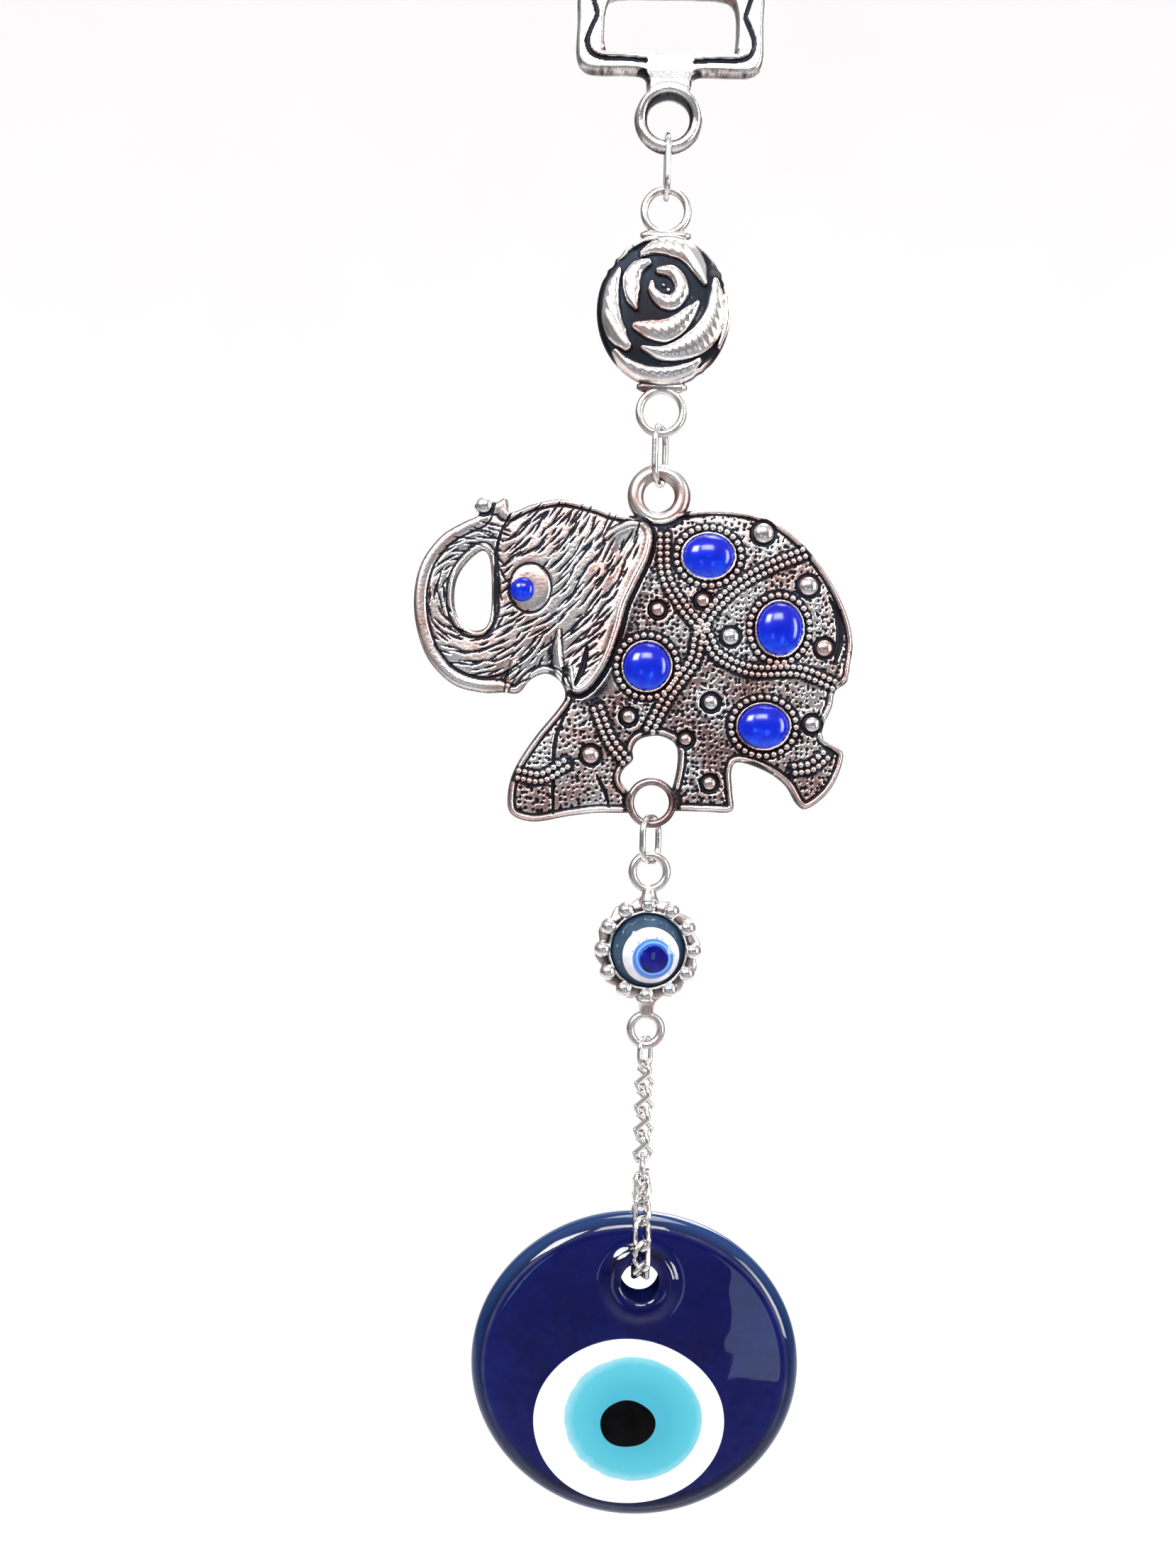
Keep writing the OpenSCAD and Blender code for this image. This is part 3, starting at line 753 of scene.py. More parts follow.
def rose():
    """The rose is a plump disc with raised petals over black hollows, alike on its front and back."""
    middle = middle_mm("rose_connector")
    relief = Relief([rose_outline()], 0.12)
    swell = np.clip(1 - (relief.x / 10.6) ** 2 - (relief.z / 12) ** 2, 0, 1) ** 0.5
    for places, widths in PETALS:
        relief.stamp("lift", drawn(places, 0.1), widths, 1.1, 0.35)
    for place in ((-0.2, 3.5), (0.5, 2.8)):
        relief.stamp("lift", [place], 0.35, 0.4)
    rim = np.exp(-(((relief.inset - 0.45) / 0.35) ** 2)) * ease((np.abs(relief.z) - 6) / 4)
    relief.lift = np.maximum(relief.lift, 0.75 * rim)
    vein = 0.03 * np.sin(relief.x * 5 + relief.z * 3)
    height, tarnish = relief.heights(0.35 + 1.7 * swell + vein * relief.lift)
    tarnish = np.clip(1.15 - relief.lift * 2.1, 0, 1) * 0.75 + tarnish * 0.3
    shape = Shape()
    cast_plate(shape, relief, height, height, 0.7, tarnish, tarnish)
    bar_x = spaced([(-BAR_HALF, 0), (BAR_HALF, 0)], 0.3)[:, 0]
    bar_r = np.interp(np.abs(bar_x), [BAR_HALF - 0.9, BAR_HALF], [0.8, 0.35])
    r, wire = ROSE_RING
    for side in (1, -1):
        tube(shape, circle((0, 0, side * ROSE_DROP), r, 96), wire, closed=True, tarnish=0.05)
        bar = upright(np.stack([bar_x, np.full(len(bar_x), side * BAR_DROP)], 1), 0)
        tube(shape, bar, bar_r, tarnish=0.45)
    shape.piece("rose_casting", SILVER, "rose", "cast_silver", "rose_connector", offset=middle * (0, 0, 1))


# ---------------------------------------------------------------- elephant

PLATE_HALF = 1.2
SWELL = 0.55
LOOP = (3.65, 1.25)
RING = (3.3, 0.6)
PITCH = 47.6

OUTLINE = [
    (-27.9, -3.6), (-28.6, -2.2), (-27, -1.2), (-25.2, -1.6), (-23.6, -0.8), (-22.8, -3), (-19.6, -1.8),
    (-15, -0.9), (-10, -1.8), (-6, -3), (0, -3), (6, -2), (10, -1.8), (14.8, -2.4), (19.6, -4.5), (24, -8.5),
    (27.4, -13.2), (29.7, -18), (30.6, -22.2), (30.2, -26), (29.8, -28.2), (28.1, -29.6), (27.6, -32.2),
    (26.5, -34.8), (26.4, -36.8), (29.2, -38.6), (29.5, -40.4), (28.4, -43.7), (26.6, -46.2), (24, -48),
    (22.4, -47.2), (20.6, -44.4), (17.6, -42.3), (13.4, -41), (12.3, -42.4), (12.5, -45.5), (12.5, -48.6),
    (8.5, -48.8), (4.5, -48.8), (0, -49), (-4.1, -49.3), (-8.5, -49.4), (-12.8, -50), (-18.2, -51),
    (-21.8, -49.8), (-22.3, -46.4), (-21.2, -42.5), (-18.3, -37.8), (-15, -33.6), (-13.8, -31.4),
    (-14.6, -29.2), (-16.8, -28), (-19.2, -29), (-21, -31.1), (-23.4, -31.1), (-26.7, -31.2), (-31.3, -30),
    (-35.2, -26.2), (-37.2, -21), (-37.6, -15.8), (-36.5, -11), (-33.6, -7), (-30.2, -4.8),
]
TRUNK_GAP = [
    (-27.2, -9.2), (-26, -10.6), (-25.6, -15), (-25.7, -19.2), (-26.6, -21.2), (-28.6, -21.5), (-30.4, -20.2),
    (-31.3, -17.4), (-31.1, -14), (-29.6, -11.2),
]
LEG_GAP = [
    (-2, -37.8), (0.9, -37.2), (3.3, -38.3), (3.9, -40.4), (3.5, -43.8), (2.6, -46), (0, -46.6),
    (-2.6, -46.4), (-4.2, -45.2), (-4.9, -44), (-4.4, -42.5), (-3, -41), (-3.1, -39.4),
]
EAR_RIM = [
    (-8.6, -6.4), (-7.2, -5.2), (-4.3, -3.9), (-2, -4.3), (-0.9, -6.4), (-1.4, -9.8), (-3.1, -13.6),
    (-4.7, -17.4), (-5.6, -21.2), (-7.2, -26), (-9.4, -29.6), (-11.6, -31.2), (-13.4, -30.4), (-13.8, -27.2),
]
EAR_ROOT = [(-13, -24), (-11, -17), (-10.5, -12), (-9.9, -7.6)]
BANDS = [
    [
        (0.8, -6.2), (1.2, -12.4), (3.9, -17.1), (7.6, -21.3), (9.6, -24.6), (14.9, -26.8), (22, -26.7),
        (27.6, -28.7),
    ],
    [
        (22.5, -8.5), (16.9, -11), (12.2, -14), (8.4, -17.9), (6.6, -21.8), (5.8, -25.6), (2.1, -31),
        (-0.6, -36.4),
    ],
    [(-8.8, -33.2), (-6.8, -37.9), (-4.2, -41.2)],
    [(-20.7, -43.7), (-17.1, -44.1), (-13.4, -41.9)],
    [(21.9, -41.9), (24.4, -41.4), (26.6, -39.6)],
]
# Each stone's x, z and half sizes, and each stud's x, z and radius
STONES = {
    "back_stone": (7.8, -9.4, 3.9, 3.4),
    "rump_stone": (19, -20.3, 3.5, 4.1),
    "shoulder_stone": (-1.3, -26.6, 3.6, 3.7),
    "thigh_stone": (16.9, -35.4, 3.9, 3.4),
}
EYE_STONE = (-20.7, -15.2, 1.95, 1.95)
TRUNK_BALL = (-27.0, -2.3, 1.25)
STUDS = [
    (0.2, -17.8, 1), (7.1, -16.2, 1), (11.5, -21.7, 1.3), (8.7, -31.9, 1.1), (-3.9, -34.4, 1),
    (-9.6, -40.5, 1.3), (5, -37.7, 0.9), (8.8, -44.4, 1), (16.2, -5.6, 1.6), (23.3, -13.6, 1.5),
    (26, -23.1, 1.3), (24.4, -34.9, 1.2),
]
TRUNK_MIDDLE = (-28.8, -16.5)
BEAD_R = 0.48
BEAD_LIFT = 0.1
SEAT_BEAD_R = 0.5
SEAT_BEADS_OUT = 1.12


def elephant_relief():
    """The plate, cut away where the round wires of the loop and the ring stand clear of it."""
    outline = spline(OUTLINE, 5, closed=True)
    relief = Relief([outline, spline(TRUNK_GAP, 5, closed=True), spline(LEG_GAP, 5, closed=True)], 0.16)
    for centre, r in (((0, 0), LOOP[0]), ((0, -PITCH), RING[0])):
        inset, near_x, near_z = inset_in(relief.x, relief.z, [oval(centre, r, r, 60)])
        closer = -inset < relief.inset
        relief.near_x = np.where(closer, near_x, relief.near_x)
        relief.near_z = np.where(closer, near_z, relief.near_z)
        relief.inset = np.minimum(relief.inset, -inset)
    return relief


def trunk_outside(relief):
    """1 on the outer side of the trunk, where its nearest edge is the outline, and 0 elsewhere."""
    inside_gap, _, _ = inset_in(relief.x, relief.z, [spline(TRUNK_GAP, 5, closed=True)])
    return ease((-21 - relief.x) / 4) * ease((-inside_gap - relief.inset) / 0.4)


def rims(relief, trunk):
    """A raised rim follows the outline, wider along the trunk, with a black line inside it."""
    half = 0.42 + 0.45 * trunk
    rim = 0.28 * np.exp(-(((relief.inset - 0.3 - 0.7 * half) / half) ** 2))
    relief.lift = np.maximum(relief.lift, rim)
    line = 0.30 * np.exp(-(((relief.inset - 1.15 - 1.0 * trunk) / 0.22) ** 2))
    relief.cut = np.maximum(relief.cut, line)


def ear(relief):
    """A raised flap with a thick rolled rim, hollow in its middle."""
    rim_line = spline(EAR_RIM, 6)
    root = spline(EAR_ROOT, 6)
    inside, _, _ = inset_in(relief.x, relief.z, [np.concatenate([rim_line, root])])
    root_gap = relief.gap_to(spaced(root, 0.4))
    flap = ease(inside / 0.45) * ease(root_gap / 4.5)
    hollow = 0.5 * ease((inside - 1.4) / 2.2) * ease(root_gap / 3)
    relief.lift += 0.95 * flap - hollow * flap
    ridge = spaced(beside(rim_line, -0.75), 0.12)
    relief.stamp("lift", ridge, (0.4, 0.8, 0.85, 0.85, 0.8, 0.75, 0.75, 0.45), 1.25, 0.6)
    # A painted shadow beside the ear's rim.
    shadow = spaced(beside(rim_line[18:72], 1.2), 0.2)
    relief.stamp("soot_and_shadow", shadow, (0.4, 1.3, 1.7, 1.7, 1.3, 0.5), 0.45, 1.0)
    seam = spaced(beside(rim_line[12:], 0.4), 0.15)
    relief.stamp("soot_and_shadow", seam, (0.3, 0.7, 0.8, 0.8, 0.7, 0.4), 0.7, 1.0)
    relief.stamp("cut", seam, 0.3, 0.3)
    fold = drawn([(-10.6, -24), (-11.2, -27), (-12.2, -29.6)], steps=6)
    relief.groove(fold, (0.3, 0.6, 0.3), 0.5, (0.4, 0.9, 0.4), 0.5)
    lobe = drawn([(-14.9, -21.5), (-15.2, -24.5), (-14.7, -27.5), (-13.4, -30.2)], steps=6)
    relief.stamp("lift", lobe, (0.3, 0.75, 0.85, 0.6), 1.0, 0.6)
    beyond = drawn([(-16.1, -22.5), (-16.4, -25), (-15.8, -28.4), (-14.6, -30.6)], steps=6)
    relief.stamp("soot_and_shadow", beyond, (0.2, 0.45, 0.5, 0.3), 0.6)
    return inside, relief.gap_to((*ridge[::4], *lobe[::4]))


def scattered(xs, zs, jitter_x, jitter_z):
    """The places of a grid, each moved a little at random."""
    for x in xs:
        for z in zs:
            yield x + rng.uniform(-jitter_x, jitter_x), z + rng.uniform(-jitter_z, jitter_z)


def hair(relief, trunk, ear_inside, rim_gap):
    """Short engraved strokes: along the trunk, and slanting over the head and the ear."""
    root = np.array([(-14.2, -31), (-13.8, -27.2), *EAR_ROOT, (-8.6, -6.4), (-6.5, -4)])
    head = relief.x < np.interp(relief.z, root[:, 1], root[:, 0]) + 0.4
    wanted = (relief.inset > 0.9 + 1.4 * trunk) & (relief.z > -31)
    wanted &= (rim_gap > 1.1) & ((ear_inside > 0) | head)
    wanted &= np.hypot((relief.x + 19.4) / 3.4, (relief.z + 14.8) / 3.9) > 1.05
    for x, z in scattered(np.arange(-37, -1, 1.15), np.arange(-31, -1, 1.55), 0.55, 0.7):
        length, lean = rng.uniform(1.2, 4.2), rng.normal(0, 0.10)
        if not relief.value(wanted, x, z):
            continue
        if x < -23.5 or z < -22 and x < -17:
            angle = math.atan2(z - TRUNK_MIDDLE[1], x - TRUNK_MIDDLE[0]) + math.pi / 2 + lean
        else:
            angle = math.radians(48 + 1.2 * (x + 14) + 0.9 * (z + 14)) + lean
        half = np.array((math.cos(angle), math.sin(angle))) * length / 2
        middle = np.array((x, z))
        stroke = spaced([middle - half, middle, middle + half], 0.1)
        relief.groove(stroke, (0.06, 0.22, 0.06), 0.22, (0.10, 0.28, 0.10), 0.8)


def face(relief):
    """The bright almond round the eye, the tusk and the creases of the trunk and mouth."""
    gap = np.hypot((relief.x + 19.6) / 3.1, (relief.z + 14.9) / 3.6)
    relief.lift = np.where(gap < 1.0, 0.22 * np.clip(1 - gap**4, 0, 1), relief.lift)
    relief.cut = np.where(gap < 0.98, 0, relief.cut)
    relief.soot_and_shadow = np.where(gap < 0.95, -0.9, relief.soot_and_shadow)
    relief.cut = np.maximum(relief.cut, 0.3 * np.exp(-(((gap - 1.06) / 0.06) ** 2)))
    brow = [
        (-22.9, -3.6), (-24.2, -6.2), (-24.9, -9), (-25, -12.6), (-24.9, -17), (-25.1, -20.4), (-26.4, -22.4),
    ]
    mouth = [(-34.2, -24), (-31.2, -27.4), (-27.6, -28.9), (-24.2, -28.6), (-21.2, -26.9)]
    for crease in (brow, mouth):
        relief.stamp("cut", drawn(crease), (0.2, 0.35, 0.35, 0.2), 0.4)
    tusk = drawn([(-21.4, -26.6), (-22.2, -28.6), (-22.9, -31)], steps=6)
    relief.stamp("lift", tusk, (0.8, 0.65, 0.2), 0.7)


def body_texture(relief, ear_inside):
    """Punched dots over the body and legs, the creases of the legs, and the thin tail with its tuft."""
    on_body = (relief.inset > 1.2) & (ear_inside < -0.9) & (
        (relief.x > -6) | (relief.z < -31.5) & (relief.x > -22)
    )
    for x, z in scattered(np.arange(-22, 30, 0.88), np.arange(-50, -2, 0.88), 0.3, 0.3):
        size = rng.uniform(0.2, 0.38)
        if relief.value(on_body, x, z):
            relief.groove([(x, z)], size, 0.2, size, 0.9)
    legs = [
        [(-13.2, -33), (-14.9, -37.4), (-15.4, -42), (-15.2, -49.6)],
        [(-8.6, -43.6), (-7.2, -46.4), (-6.6, -48.4)],
        [(12.4, -41.6), (15.4, -41.2), (18.6, -42.6)],
    ]
    for crease in legs:
        relief.stamp("cut", drawn(crease), (0.2, 0.4, 0.4, 0.2), 0.4)
    hollow = drawn([(26.6, -15.2), (28.0, -18.2), (28.4, -22.0), (27.7, -25.4)])
    relief.groove(hollow, (0.2, 0.6, 0.7, 0.3), 0.45, (0.2, 0.7, 0.8, 0.3), 0.7)
    tuft = drawn([(29.7, -24), (29.2, -26.6), (28.2, -28.8)])
    relief.stamp("lift", tuft, (0.5, 1.1, 0.5), 0.9)


def plate_swell(inset):
    """The plate is a little thicker in its middle than at its rim."""
    return SWELL * (1 - np.exp(-np.clip(inset, 0, None) / 3.5))


def plate_front(relief, x, z):
    """Front of the plate at a place, without its small relief."""
    i, j = ((np.array((x, z)) - relief.low) / relief.step).round().astype(int)
    return -(PLATE_HALF + plate_swell(relief.inset[i, j]))


def set_beads(shape, relief, places, radius):
    """Beads that stand on the plate."""
    centres = [(x, plate_front(relief, x, z) - BEAD_LIFT, z) for x, z in places]
    balls(shape, centres, radius, tarnish=0.05)


def bead_bands(relief, shape):
    """Two rows of small beads along each band, over a black line."""
    for band in BANDS:
        middle = spline(band)
        relief.stamp("soot_and_shadow", spaced(middle, 0.2), 1.5, 0.95, 0.3)
        for offset in (-0.56, 0.56):
            set_beads(shape, relief, spaced(beside(middle, offset), 2.05 * BEAD_R), BEAD_R)


def stone_seats(relief, shape):
    """A ridge, a black ring and a ring of beads round each stone."""
    for cx, cz, a, b in STONES.values():
        gap = np.hypot((relief.x - cx) / a, (relief.z - cz) / b)
        away = (gap - 1) * (a + b) / 2
        relief.lift = np.maximum(relief.lift, 0.55 * np.exp(-(((away - 0.2) / 0.25) ** 2)))
        relief.soot_and_shadow = np.maximum(relief.soot_and_shadow, 0.85 * ((away > 0.35) & (away < 1.9)))
        relief.cut = np.where((away > 0.45) & (away < 1.9), 0.12, np.where(away < 0.3, 0, relief.cut))
        ring = oval((cx, cz), a + SEAT_BEADS_OUT, b + SEAT_BEADS_OUT, 240)
        row = spaced(np.concatenate([ring, ring[:1]]), 2.3 * SEAT_BEAD_R)[:-1]
        set_beads(shape, relief, row, SEAT_BEAD_R)


def studs(relief, shape):
    """Low round studs in black cups, the small ones with a ridge round the cup."""
    for x, z, r in (*STUDS, TRUNK_BALL):
        relief.ring("cut", (x, z), r + 0.25, 0.35, 0.3)
        relief.ring("soot_and_shadow", (x, z), r + 0.25, 0.45, 0.9)
        if r < 1.25:
            relief.ring("lift", (x, z), r + 1.0, 0.35, 0.28)
        balls(shape, [(x, plate_front(relief, x, z), z)], r, 12, 24, tarnish=-0.1, flat=0.6)


def low_body(relief):
    """1 in the middle and low part of the body, where the plate stays darkest, and 0 on the head and back."""
    return ease(1.6 - np.hypot((relief.x - 5) / 13, (relief.z + 33) / 12))


def elephant():
    """The plate with everything cast on it, and the stones set in it."""
    relief = elephant_relief()
    shape = Shape()
    trunk = trunk_outside(relief)
    inside, rim_gap = ear(relief)
    rims(relief, trunk)
    hair(relief, trunk, inside, rim_gap)
    body_texture(relief, inside)
    face(relief)
    bead_bands(relief, shape)
    stone_seats(relief, shape)
    studs(relief, shape)
    for z, (r, wire) in ((0, LOOP), (-PITCH, RING)):
        relief.ring("soot_and_shadow", (0, z), r + wire + 0.25, 0.5, 0.8)
    grain = (rng.random(relief.x.shape) - 0.5) * 0.035
    height, tarnish = relief.heights(PLATE_HALF + plate_swell(relief.inset) + grain)
    tarnish += 0.16 * low_body(relief)
    rough_back = PLATE_HALF - 0.15 * relief.blurred(rng.random(relief.x.shape), 3)
    cast_plate(shape, relief, height, rough_back, 0.55, tarnish, 0.3)
    tube(shape, circle((0, 0, 0), LOOP[0], 120), LOOP[1], closed=True, sides=28, tarnish=0.2)
    tube(shape, circle((0, 0, -PITCH), RING[0], 110), RING[1], closed=True, tarnish=0.4)
    loop_z = top_mm("elephant_plate") - sum(LOOP)
    offset = (0, 0, loop_z)
    shape.piece("elephant_casting", WORN_SILVER, "elephant", "cast_silver", "elephant_plate", offset=offset)
    for name, (cx, cz, a, b) in STONES.items():
        stone(name, (cx, 0, loop_z + cz), a, b)
    cx, cz, a, b = EYE_STONE
    stone("eye_stone", (cx, 0, loop_z + cz), a, b, proud=0.4)


def stone(name, middle, a, b, proud=0.0):
    """A domed stone that stands in its seat."""
    low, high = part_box(name)
    front, back = low.y / MM - proud, high.y / MM
    dome = 0.72 * (back - front)
    rings = [upright(oval((0, 0), 0.9 * a, 0.9 * b, 72), back)]
    for q in np.sin(np.linspace(math.pi / 2, 0.03, 16)):
        drop = dome * (1 - math.sqrt(1 - (0.985 * q) ** 2))
        rings.append(upright(oval((0, 0), a * q, b * q, 72), front + drop))
    shape = Shape()
    lofted(shape, rings)
    shape.piece(name + "_glass", STONE, "elephant", "blue_stone", name, offset=middle)


# ---------------------------------------------------------------- eye charm

CHARM_TOP = (2.65, 0.65)
CHARM_LOW = (2.35, 0.65)
BEAD_RING = 7.0
BEADS = 12
CHARM_BEAD = 1.32
DOME_R = 5.7
DOME_RISE = 2.8
IRIS_AT = (0.75, -1.2)
SPECKS = (0.2, 0.7, 1.15, 1.4, 1.9, 2.3, 2.8, 5.6)

# The turned bezel from its back round to its seat: radius, y, tarnish and how deeply it is scalloped. The
# tarnish of the rows in the groove between the beads and the dome is painted shade.
BEZEL = [
    (0.3, 0.75, 0.1, 0.0),
    (5.9, 0.85, 0.1, 0.0),
    (7.5, 0.75, 0.1, 0.0),
    (7.95, 0.5, 0.0, 0.3),
    (7.85, 0.25, 0.05, 0.3),
    (7.3, 0.1, 0.25, 0.0),
    (6.7, 0.0, 0.6, 0.0),
    (6.35, -0.25, 0.75, 0.0),
    (6.2, -0.6, 0.6, 0.0),
    (6.08, -0.9, 0.2, 0.05),
    (5.94, -1.02, -0.1, 0.05),
    (5.82, -0.92, 0.2, 0.05),
    (5.72, -0.7, 0.6, 0.0),
    (5.68, 0.02, 0.9, 0.0),
    (0.3, 0.02, 0.9, 0.0),
]


def charm_bezel(middle):
    """A turned cup with beads round it, a loop above and a loop below."""
    shape = Shape()
    a = np.linspace(0, 2 * math.pi, 192, endpoint=False)
    rings = []
    shades = []
    for r, y, shade, scallop in BEZEL:
        edge = r + scallop * np.sin(BEADS * a)
        rings.append(upright(np.stack([edge * np.cos(a), edge * np.sin(a)], 1), y))
        shades += [shade] * len(a)
    lofted(shape, rings, tarnish=[*shades, shades[0], shades[-1]])
    balls(shape, circle((0, -0.35, 0), BEAD_RING, BEADS), CHARM_BEAD, 14, 28, tarnish=-0.05)
    low, high = (corner.z / MM - middle[2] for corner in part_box("charm_bezel"))
    for end, side, (r, wire) in ((high, 1, CHARM_TOP), (low, -1, CHARM_LOW)):
        loop = end - side * (r + wire)
        tube(shape, circle((0, 0, loop), r, 90), wire, closed=True, tarnish=0.12)
        root = np.linspace(side * 7.6, loop - side * (r - 0.2), 8)
        neck = upright(np.stack([np.zeros(8), root], 1), 0)
        tube(shape, neck, np.interp(np.arange(8), [0, 3, 7], [1.7, 1.2, 1.0]), tarnish=0.25)
    shape.piece("charm_bezel_casting", SILVER, "eye_charm", "cast_silver", "charm_bezel", offset=middle)


def dome_front(x, z):
    """Front of the charm's dome at a place from its middle."""
    ball = (DOME_R**2 + DOME_RISE**2) / (2 * DOME_RISE)
    return ball - DOME_RISE - np.sqrt(np.maximum(ball**2 - x**2 - z**2, 0))


def lens(front, centre, a, b, lift, depth, wobble=0.0, roll=0.12):
    """A pool of glass let into a curved face: a rounded edge, proud by lift, and a wall down to depth."""
    t = np.linspace(0, 2 * math.pi, 128, endpoint=False)
    uneven = 1 + wobble * (np.sin(2 * t + 0.6) * 0.5 + np.sin(3 * t + 2.1) + 0.5 * np.sin(5 * t))

    def ring(q, proud):
        x, z = centre[0] + a * q * uneven * np.cos(t), centre[1] + b * q * uneven * np.sin(t)
        return np.stack([x, front(x, z) - proud, z], 1)

    rings = [ring(0.98, -depth), ring(1.0, -depth * 0.5), ring(1.0, -0.03)]
    for angle in np.array((0.3, 0.6, 0.85, 1.0)) * math.pi / 2:
        rings.append(ring(1 - roll * (1 - math.cos(angle)) / a, lift * math.sin(angle)))
    for q in np.linspace(1 - 2 * roll / a, 0.02, 26):
        rings.append(ring(q, lift))
    shape = Shape()
    lofted(shape, rings)
    return shape


def charm():
    """The bezel, its dark dome, and the layers of the eye on it."""
    middle = middle_mm("charm_dome") * (0, 0, 1)
    charm_bezel(middle)
    slate = enamel("charm_glass", (0.015, 0.038, 0.075), (0.040, 0.075, 0.12), 2.5)
    white = enamel("charm_white", (0.60, 0.60, 0.64), (0.82, 0.82, 0.84), 2.5)
    blue = iris_glass(
        "charm_blue",
        0.0,
        (0.68, (0.02, 0.10, 0.50)),
        (0.76, (0.20, 0.42, 0.85)),
        (0.84, (0.045, 0.15, 0.55)),
        (0.99, (0.16, 0.28, 0.60)),
    )
    dark = enamel("charm_dark", (0.001, 0.001, 0.05), (0.004, 0.006, 0.24), 1.6)
    layers = (
        ("charm_dome", "charm_glass", slate, (0, 0), DOME_R - 0.04, 0.0, 0.9, 0.0),
        ("charm_white", "charm_white", white, (0.45, -0.75), 4.4, 0.04, 0.8, 0.006),
        ("charm_iris", "charm_blue", blue, IRIS_AT, 3.2, 0.07, 0.6, 0.01),
        ("charm_pupil", "charm_dark", dark, (0.9, -1.25), 2.2, 0.10, 0.5, 0.015),
    )
    for node, slot, paint, centre, r, lift, depth, wobble in layers:
        shape = lens(dome_front, centre, r, r, lift, depth, wobble)
        if node == "charm_iris":
            specks = [(IRIS_AT[0] + 3.35 * math.cos(a), IRIS_AT[1] + 3.35 * math.sin(a)) for a in SPECKS]
            balls(shape, [(x, dome_front(x, z), z) for x, z in specks], 0.14, 6, 10)
        shape.piece(node + "_pool", paint, "eye_charm", slot, node, offset=middle)


# ---------------------------------------------------------------- glass eye

GLASS_HALF = (25.3, 23.4)
HOLE_UP = 13.3
GLASS_BACK = 3.0
HOLE_R = 3.0
COLLAR_R = 5.0
COLLAR_H = 0.6
RIM_BAND = 2.2
WALL_RINGS = 8


def rim_depth(x, z):
    """About how far a place on the glass is from its outline."""
    q = np.hypot(x / GLASS_HALF[0], z / GLASS_HALF[1])
    return np.clip(1 - q, 0, 1) * GLASS_HALF[1]


def glass_front(x, z):
    """Front of the glass: a rounded rim and a gently domed face."""
    d = rim_depth(x, z)
    rim = 2.7 * np.sqrt(1 - (1 - np.clip(d / 2.8, 0, 1)) ** 2)
    dome = 0.8 * (1 - (1 - np.clip(d / 22, 0, 1)) ** 2)
    return -(rim + dome)


def glass_back(x, z):
    """Back of the glass: nearly flat, with a rounded rim."""
    d = rim_depth(x, z)
    return 3.3 * np.sqrt(1 - (1 - np.clip(d / 3.6, 0, 1)) ** 2) + 0.2 * np.clip(d / 20, 0, 1)


def glass_body(middle):
    """A domed oval with a hole that is turned through it and has a raised collar in front."""
    count = 192
    outline = oval((0, 0), *GLASS_HALF, count)
    unit = oval((0, 0), 1, 1, count)
    hole_at = np.array((-middle[0], HOLE_UP))

    def face(s, r, surface):
        """Points on a surface, a share s of the way from the outline to a circle round the hole."""
        places = outline * (1 - s) + (hole_at + unit * r) * s
        return upright(places, surface(places[:, 0], places[:, 1]))

    def collared(x, z):
        away = np.hypot(x - hole_at[0], z - hole_at[1]) - COLLAR_R
        return glass_front(x, z) - COLLAR_H * np.exp(-((away / 0.9) ** 2))

    rim = 0.125 * (1 - np.cos(np.linspace(0, math.pi / 2, 14)))
    steps = np.concatenate([rim, np.linspace(0.14, 1, 60)])
    rings = [face(s, COLLAR_R + 0.1, collared) for s in steps]
    mouth = -(3.5 + COLLAR_H)
    for angle in np.linspace(0, math.pi / 2, 14)[1:]:
        r = COLLAR_R + (HOLE_R - COLLAR_R) * math.sin(angle)
        rings.append(upright(hole_at + unit * r, mouth + 0.7 * (1 - math.cos(angle))))
    wall = len(rings)
    for y in np.linspace(mouth + 1.0, GLASS_BACK, WALL_RINGS):
        rings.append(upright(hole_at + unit * HOLE_R, y))
    for angle in np.linspace(0, math.pi / 2, 8)[1:]:
        r = HOLE_R + 0.5 * (1 - math.cos(angle))
        rings.append(upright(hole_at + unit * r, GLASS_BACK + 0.4 * math.sin(angle)))
    rings += [face(s, HOLE_R + 0.6, glass_back) for s in steps[::-1][1:-1]]
    rings = np.array(rings)
    milky = 0.42 * (1 - ease(rim_depth(rings[..., 0], rings[..., 2]) / RIM_BAND))
    milky[wall - 1 : wall + WALL_RINGS + 2] = 1.0
    shape = Shape()
    shape.add(rings.reshape(-1, 3), strip_faces(len(rings), count, closed_rows=True), tarnish=milky.ravel())
    shape.piece("glass_body", cobalt_glass(), "glass_eye", "cobalt_glass", "glass_disc", offset=middle)


def glass_eye():
    """The glass, and the three pools of its eye from the back one to the front one."""
    middle = middle_mm("glass_disc") * (1, 0, 1)
    glass_body(middle)
    white = enamel("white_glass", (0.91, 0.90, 0.90), (0.97, 0.97, 0.95), 9, 0.08)
    turquoise = iris_glass(
        "turquoise_glass",
        0.02,
        (0.45, (0.055, 0.35, 0.46)),
        (0.86, (0.085, 0.42, 0.52)),
        (0.99, (0.27, 0.54, 0.62)),
        (1.03, (0.65, 0.76, 0.80)),
    )
    black = enamel("black_glass", (0.0, 0.0, 0.0), (0.002, 0.002, 0.003), 3, 0.08, 0.3)
    layers = (
        ("glass_white", "white_glass", white, (-1.3, -8.1), 14.6, 12.7, 0.10, 1.6, 0.006),
        ("glass_iris", "turquoise_glass", turquoise, (-0.8, -7.6), 10.8, 9.7, 0.15, 1.2, 0.006),
        ("glass_pupil", "black_glass", black, (-1.4, -8.3), 4.3, 3.7, 0.20, 0.8, 0.018),
    )
    for node, slot, paint, (x, z), a, b, lift, depth, wobble in layers:
        shape = lens(glass_front, (x - middle[0], z), a, b, lift, depth, wobble, 0.25)
        shape.piece(node + "_pool", paint, "glass_eye", slot, node, offset=middle)


# ---------------------------------------------------------------- wire links


